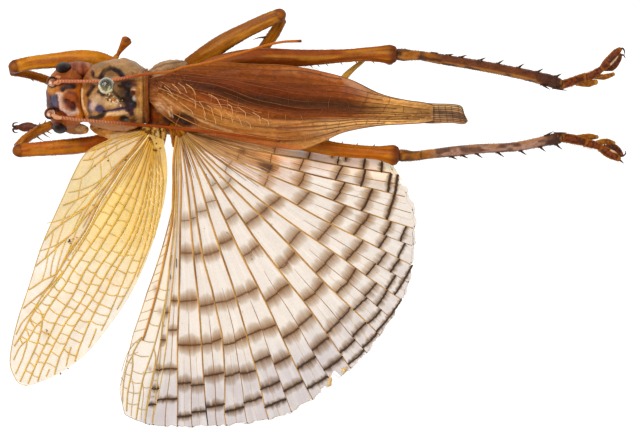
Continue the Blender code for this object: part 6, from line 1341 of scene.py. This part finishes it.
def other_legs():
    rng = np.random.default_rng(9)
    legs = {
        "fore_right": dict(
            coxa=[(112, 84, 10.4, 6.5, 5.5), (114.5, 74.5, 10.6, 6, 5.2), (113, 66, 11, 5.4, 5.2)],
            femur=[(113, 62.6, 11.3, 5.6, 5.6), (98, 59.3, 11.45, 8.0, 7), (80, 58.3, 11.5, 8.5, 7.6), (56, 60.4, 11.6, 7.7, 7), (30, 63.2, 11.8, 7.0, 6.3), (15, 66.6, 12.0, 6.9, 6)],
            tibia=[(12.5, 71.5, 10.6, 4.6, 4.2), (24, 73.4, 9.9, 4.3, 4.1), (44, 78.8, 8.4, 4.2, 4.1), (60, 85.5, 7.0, 4.1, 4.1)],
            toes=[[(64, 88.5, 6.3, 3.4, 3), (72, 91.4, 6.0, 4.0, 3)], [(73, 92, 6.0, 3.4, 3), (82, 93.8, 5.8, 3.6, 3)], [(83, 94, 5.75, 2.8, 2.6), (94, 95, 5.7, 4.0, 3)]],
            claws=[[(94, 93, 5.7), (99, 90.5, 5.6), (101, 87.5, 5.4)], [(94, 97, 5.7), (99, 99.5, 5.6), (101, 102.5, 5.4)]], thorns=[((30, 74, 9.4), (34, 82, 9.0)), ((42, 77, 8.6), (47, 85, 8.1)), ((50, 79, 8), (56, 87.5, 7.4))]),
        "fore_left": dict(
            coxa=[(112, 110, 10.4, 6.5, 5.5), (113.5, 121, 10.6, 6, 5.2), (112, 129, 11, 5.4, 5.2)],
            femur=[(112, 134.2, 11.2, 5.6, 5.6), (98, 142.0, 11.35, 7.4, 7), (80, 145.5, 11.5, 8.1, 7.6), (60, 147.4, 11.6, 7.9, 7.2), (38, 149, 11.8, 7.2, 6.5), (19, 150.6, 12, 6.9, 6)],
            tibia=[(18, 146.5, 10.65, 4.6, 4.4), (24, 140.3, 10.2, 4.6, 4.5), (33.5, 133.6, 9.1, 4.8, 4.6), (42, 128.8, 8.2, 4.8, 4.6), (50, 125.5, 7.3, 4.6, 4.6)],
            toes=[[(48.5, 126.8, 6.35, 3.6, 3), (41, 127.6, 6.1, 3.8, 3)], [(40, 127.4, 6.1, 2.8, 2.8), (35.5, 127.2, 6.0, 3.0, 2.8)], [(35, 127, 6.0, 3.0, 2.8), (29, 126.9, 5.9, 4.9, 3.2), (23, 127.2, 5.85, 4.4, 3), (17.5, 127.2, 5.7, 2.0, 2.2)]],
            claws=[[(17.5, 126.2, 5.75), (13.2, 126.4, 5.65), (13.6, 123.4, 5.6), (18, 122.6, 5.5)], [(17.5, 128.4, 5.75), (13.0, 129.2, 5.65), (14, 132, 5.6), (17.8, 132.8, 5.5)]],
            thorns=[((36, 128.5, 8.9), (40.3, 121.4, 8.8)), ((42, 126, 8.2), (46, 119.6, 8.1)), ((47, 126, 7.8), (53, 129.4, 7.4)), ((45, 129, 8.1), (52.6, 134, 7.7)), ((42, 131.5, 8.4), (50.5, 137.8, 8.0)), ((36, 135, 9.0), (44, 141, 8.6))]),
        "mid_right": dict(
            coxa=[(166, 88, 9.6, 7.5, 6), (181, 74.5, 10.6, 6.8, 6), (188, 66, 11.2, 5.6, 5.6)],
            femur=[(189, 62.5, 11.3, 5.6, 5.6), (212, 49.8, 12, 9.0, 7.6), (227, 40.5, 12.3, 8.8, 8), (246, 30.3, 12.6, 7.8, 7.2), (266, 20.8, 12.9, 7.4, 6.6), (279.5, 14.8, 13, 6.6, 6)],
            tibia=[(281.6, 20.5, 11.75, 5.0, 4.8), (274, 33.5, 10.9, 5.8, 5), (262, 50, 9.7, 5.4, 5), (246, 72, 7.9, 5, 4.8), (233, 89, 6.6, 4.5, 4.5)],
            toes=[[(230, 94, 6.1, 3.6, 3.2), (225, 100.5, 5.9, 4.2, 3.2)], [(224, 102, 5.9, 3.4, 3), (217.5, 107.5, 5.75, 3.6, 3)], [(217, 108, 5.7, 2.8, 2.8), (209, 112.4, 5.6, 4.2, 3)]],
            claws=[[(209, 110, 5.6), (204, 111, 5.5), (200, 109.5, 5.4)], [(211, 114, 5.6), (207, 118, 5.5), (203, 119.5, 5.4)]], thorns=[((265.5, 37.4, 10.7), (252.2, 40.2, 10.5)), ((256, 52, 9.7), (249, 56, 9.5)), ((250, 60, 9), (243, 64, 8.8))]),
        "mid_left": dict(
            coxa=[(166, 107, 9.6, 7.5, 6), (174, 121, 10.2, 6.8, 6), (180, 128, 10.2, 5.6, 5.4)],
            femur=[(181.5, 130, 10.0, 6.0, 5.6), (205, 142, 10.0, 9, 7), (228, 149.5, 10.4, 8.4, 7), (250, 157.5, 11.1, 7.4, 6.6), (266, 163.3, 11.7, 7, 6.4), (273, 166, 11.9, 6.2, 6)],
            tibia=[(271.5, 158.5, 10.5, 4.6, 4.6), (262, 140, 9.3, 5, 4.8), (255, 118, 7.8, 4.8, 4.6), (251, 101, 6.6, 4.5, 4.5)],
            toes=[[(251, 95, 6.1, 3.6, 3.2), (254, 88, 5.9, 4.0, 3.2)], [(254.5, 86.5, 5.9, 3.4, 3), (258.5, 80, 5.75, 3.6, 3)], [(259, 79, 5.7, 2.8, 2.8), (265, 71.5, 5.6, 4.2, 3)]],
            claws=[[(263, 72, 5.6), (264, 67, 5.5), (268, 63.5, 5.4)], [(266, 74.5, 5.6), (271, 72, 5.5), (276, 72, 5.4)]], thorns=[]),
    }
    for k, (name, d) in enumerate(legs.items()):
        S, T = Shape(), Tubes(7)
        S.tube(d["coxa"], 26, 28, amber_leg(seed=20 + k), relief=ROUGH)
        S.tube(d["femur"], 130, 60, amber_leg(*{"mid_right": ((136, 80, 32), (154, 94, 40), (110, 58, 25)), "fore_left": ((160, 82, 26), (180, 102, 38), (124, 58, 20))}.get(name, ((178, 106, 40), (198, 128, 54), (140, 74, 30))), 11 + 3 * k, 0.95), tip=(0.7, 0.8), relief=keel(0.07))
        end, start = d["femur"][-1], d["tibia"][0]
        S.ball((end[0] + start[0]) / 2, (end[1] + start[1]) / 2, (end[2] + start[2]) / 2, 5.0, 5.0, 0.6, RED, relief=ROUGH)
        S.ball(end[0], end[1], end[2] + 0.02, 6.8, 6.4, 0.6, layered(RED, [spot(end[0], end[1], 4.0, 3.6, (160, 96, 44), 0.6, 0, 0.8)]), relief=ROUGH)
        S.tube(d["tibia"], 110, 40, amber_leg((152, 88, 34), (176, 110, 46), (98, 52, 26), 12 + 3 * k, 0.9), tip=(0.6, 0.6), relief=keel(0.05))
        for toe in d["toes"]:
            S.tube(toe, 24, 24, TOE if name != "fore_left" else (lambda g: mixed(lin(70, 36, 28), lin(112, 62, 42), noise(g["U"] * 0.7, g["V"] * 0.7, 0, 2))), relief=ROUGH)
        for c in d["claws"]:
            c = smooth([(*p, 1, 1) for p in c], 14)
            T.add(at(c[:, 0], c[:, 1], c[:, 2]), np.linspace(1.6, 0.4, 14) * UNIT, lin(64, 34, 24))
        for root, point in d["thorns"]:
            spike(T, root, point, 1.2, lin(120, 78, 40), 0.08)
        path = smooth(d["tibia"], 100)
        for s in np.linspace(0.2, 0.95, 6):
            for side in (-1, 1):
                p = path[int(s * 99)]
                spike(T, (p[0], p[1], p[2] - 0.35), (p[0] + side * 3, p[1] + 3, p[2] - 0.85), 1.0, lin(110, 66, 36))
        hairs(T, d["femur"], 110, rng, 2.0)
        hairs(T, d["tibia"], 110, rng, 2.2)
        kept(S.done("leg_" + name, LEG), "leg_amber", "femur_" + name, "coxa_" + name, "tibia_" + name, "tarsus_" + name)
        kept(T.done("thorns_" + name, FOOT), "leg_dark", "tibia_" + name)


other_legs()


# ---------------------------------------------------------------- pin, crust and base
def pin_line(z):
    low, high = at(120, 99, 17.9), at(106, 85.6, 28.0)
    return low + (high - low) * (np.asarray(z, float)[..., None] - 17.9) / 10.1


def turned(shape, stations, sides, paint, relief=None):
    z, r = np.array(stations, float).T
    axis = pin_line(20.0) - pin_line(0.0)
    axis /= np.linalg.norm(axis)
    side = np.cross(axis, (0, 1.0, 0))
    side /= np.linalg.norm(side)
    up = np.cross(axis, side)
    a = TAU * np.arange(sides) / sides
    mid = pin_line(z)[:, None]
    R = mid + (side * np.cos(a)[:, None] + up * np.sin(a)[:, None])[None] * (r * UNIT)[:, None, None]
    shape.rings(R, [pin_line(z[0]), pin_line(z[-1])], (z / 28.6)[:, None] + 0 * a[None], a[None] + 0 * z[:, None], paint, relief, mid)


def pin():
    metal = surface("pin_metal", rough=0.18, bump=0.12, scale=20000, grain=0.1, tone=0.12, spec=0.8)
    metal.node_tree.nodes["Principled BSDF"].inputs["Metallic"].default_value = 0.85
    S = Shape()
    turned(S, [(1.0, 1.2)] + [(z, 2.3) for z in np.linspace(1.6, 27.0, 60)], 28, plain(134, 128, 96), lambda g: 0.006 * np.cos(g["A"] * 3 + g["S"] * 90))
    c = pin_line(28.1)
    kept(S.done("pin_shaft", metal), "pin", "pin")
    S = Shape()
    u, v = unplan(c)
    # painted reflections on the metal core: two dark spots and a white highlight
    S.ball(u - 1.0, v - 2.2, 28.0, 3.8, 2.2, 0.42, layered(plain(120, 126, 132), [spot(u - 2.2, v - 2.2, 2.2, 1.5, (18, 20, 28), 0.95), spot(u + 1.6, v - 1.2, 2.2, 1.0, (26, 26, 34), 0.9), spot(u - 0.6, v - 3.6, 1.6, 0.6, (246, 248, 250), 0.9)]), relief=lambda g: 0.07 * (noise(g["U"] * 0.9, g["V"] * 0.9, 0, 3) - 0.5))
    kept(S.done("pin_core", metal), "pin", "pin")
    nylon = surface("nylon", rough=0.12, coat=1.0, coat_rough=0.05, bump=0.05, scale=3000, grain=0.06, tone=0.12, sheer=True, spec=0.7)
    k = np.linspace(0.02, 1, 36)
    half = 0.78 * MM
    a = TAU * np.arange(64) / 64
    ph = (k * pi)[:, None]
    rad = np.sin(ph) ** 0.8 * 7.9 * UNIT
    cx = pin_line(27.8)
    R = np.stack([rad * np.cos(a)[None] + cx[0], -rad * np.sin(a)[None] + cx[1], cx[2] - half * np.cos(ph) + 0 * a[None]], -1)
    U, V = unplan(R)
    # painted light on the nylon head: a dark reflection over its upper part and bright highlight strokes round its
    # lower side
    col = lambda g: layered(plain(98, 98, 62), [spot(u + 0.5, v - 4.0, 6.6, 4.2, (44, 46, 34), 0.92, 0, 0.6), line([(u - 7, v + 0.5), (u - 4, v + 5.4), (u + 0.5, v + 7), (u + 5.4, v + 4.6)], 1.2, (214, 206, 156), 0.85), line([(u + 3.6, v + 1.4), (u + 1.6, v + 6.2)], 0.8, (226, 214, 160), 0.8)])(g)
    S = Shape()
    S.rings(R, [cx - [0, 0, half], cx + [0, 0, half]], ph / pi + 0 * a[None], a[None] + 0 * ph, col, lambda g: 0.02 * (noise(g["U"] * 0.5, g["V"] * 0.5, g["Z"] * 2) - 0.5))
    verts, cols = np.concatenate(S.verts), np.clip(np.concatenate(S.cols), 0, 1)
    U, V = unplan(verts)
    alpha = 0.5 + 0.46 * ease((np.hypot(U - u, V - v) - 4.0) / 3.0)
    kept(mesh_object("pin_head", verts, S.faces, with_alpha(cols, alpha), nylon), "pin", "pin")
    S = Shape()      # dried glue round the pin
    rng = np.random.default_rng(21)
    for _ in range(90):
        t = rng.random()
        cu, cv = 106 + 14 * t + rng.normal(0, 1.4), 96.5 + 5.5 * t + rng.normal(0, 1.7)
        w = rng.uniform(0.6, 1.6)
        tone = [(236, 214, 186), (206, 160, 108), (182, 128, 74), (120, 84, 50), (226, 190, 176)][rng.integers(0, 5)]
        S.ball(cu, cv, 17.55 + rng.uniform(0, 0.2), w * 1.3, w, 0.12 * w + 0.05, plain(*tone), rings=7, sides=10, relief=lambda g: 0.12 * (noise(g["U"] * 2.2, g["V"] * 2.2, g["Z"] * 6) - 0.5), turn=rng.uniform(0, 180))
    kept(S.done("pin_crust", HIDE), "cuticle")


pin()


def base_paint():
    mat = surface("base_enamel", rough=0.5, bump=0.25, scale=2600, grain=0.04, tone=0.03)
    tree = mat.node_tree
    for node in list(tree.nodes):
        if node.type == "ATTRIBUTE":
            tree.nodes.remove(node)
    for node in tree.nodes:
        if node.type == "VECT_MATH":
            node.inputs[0].default_value = (0.93, 0.93, 0.92)
    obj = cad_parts["stand_base"]
    obj.data.materials.clear()
    obj.data.materials.append(mat)


base_paint()
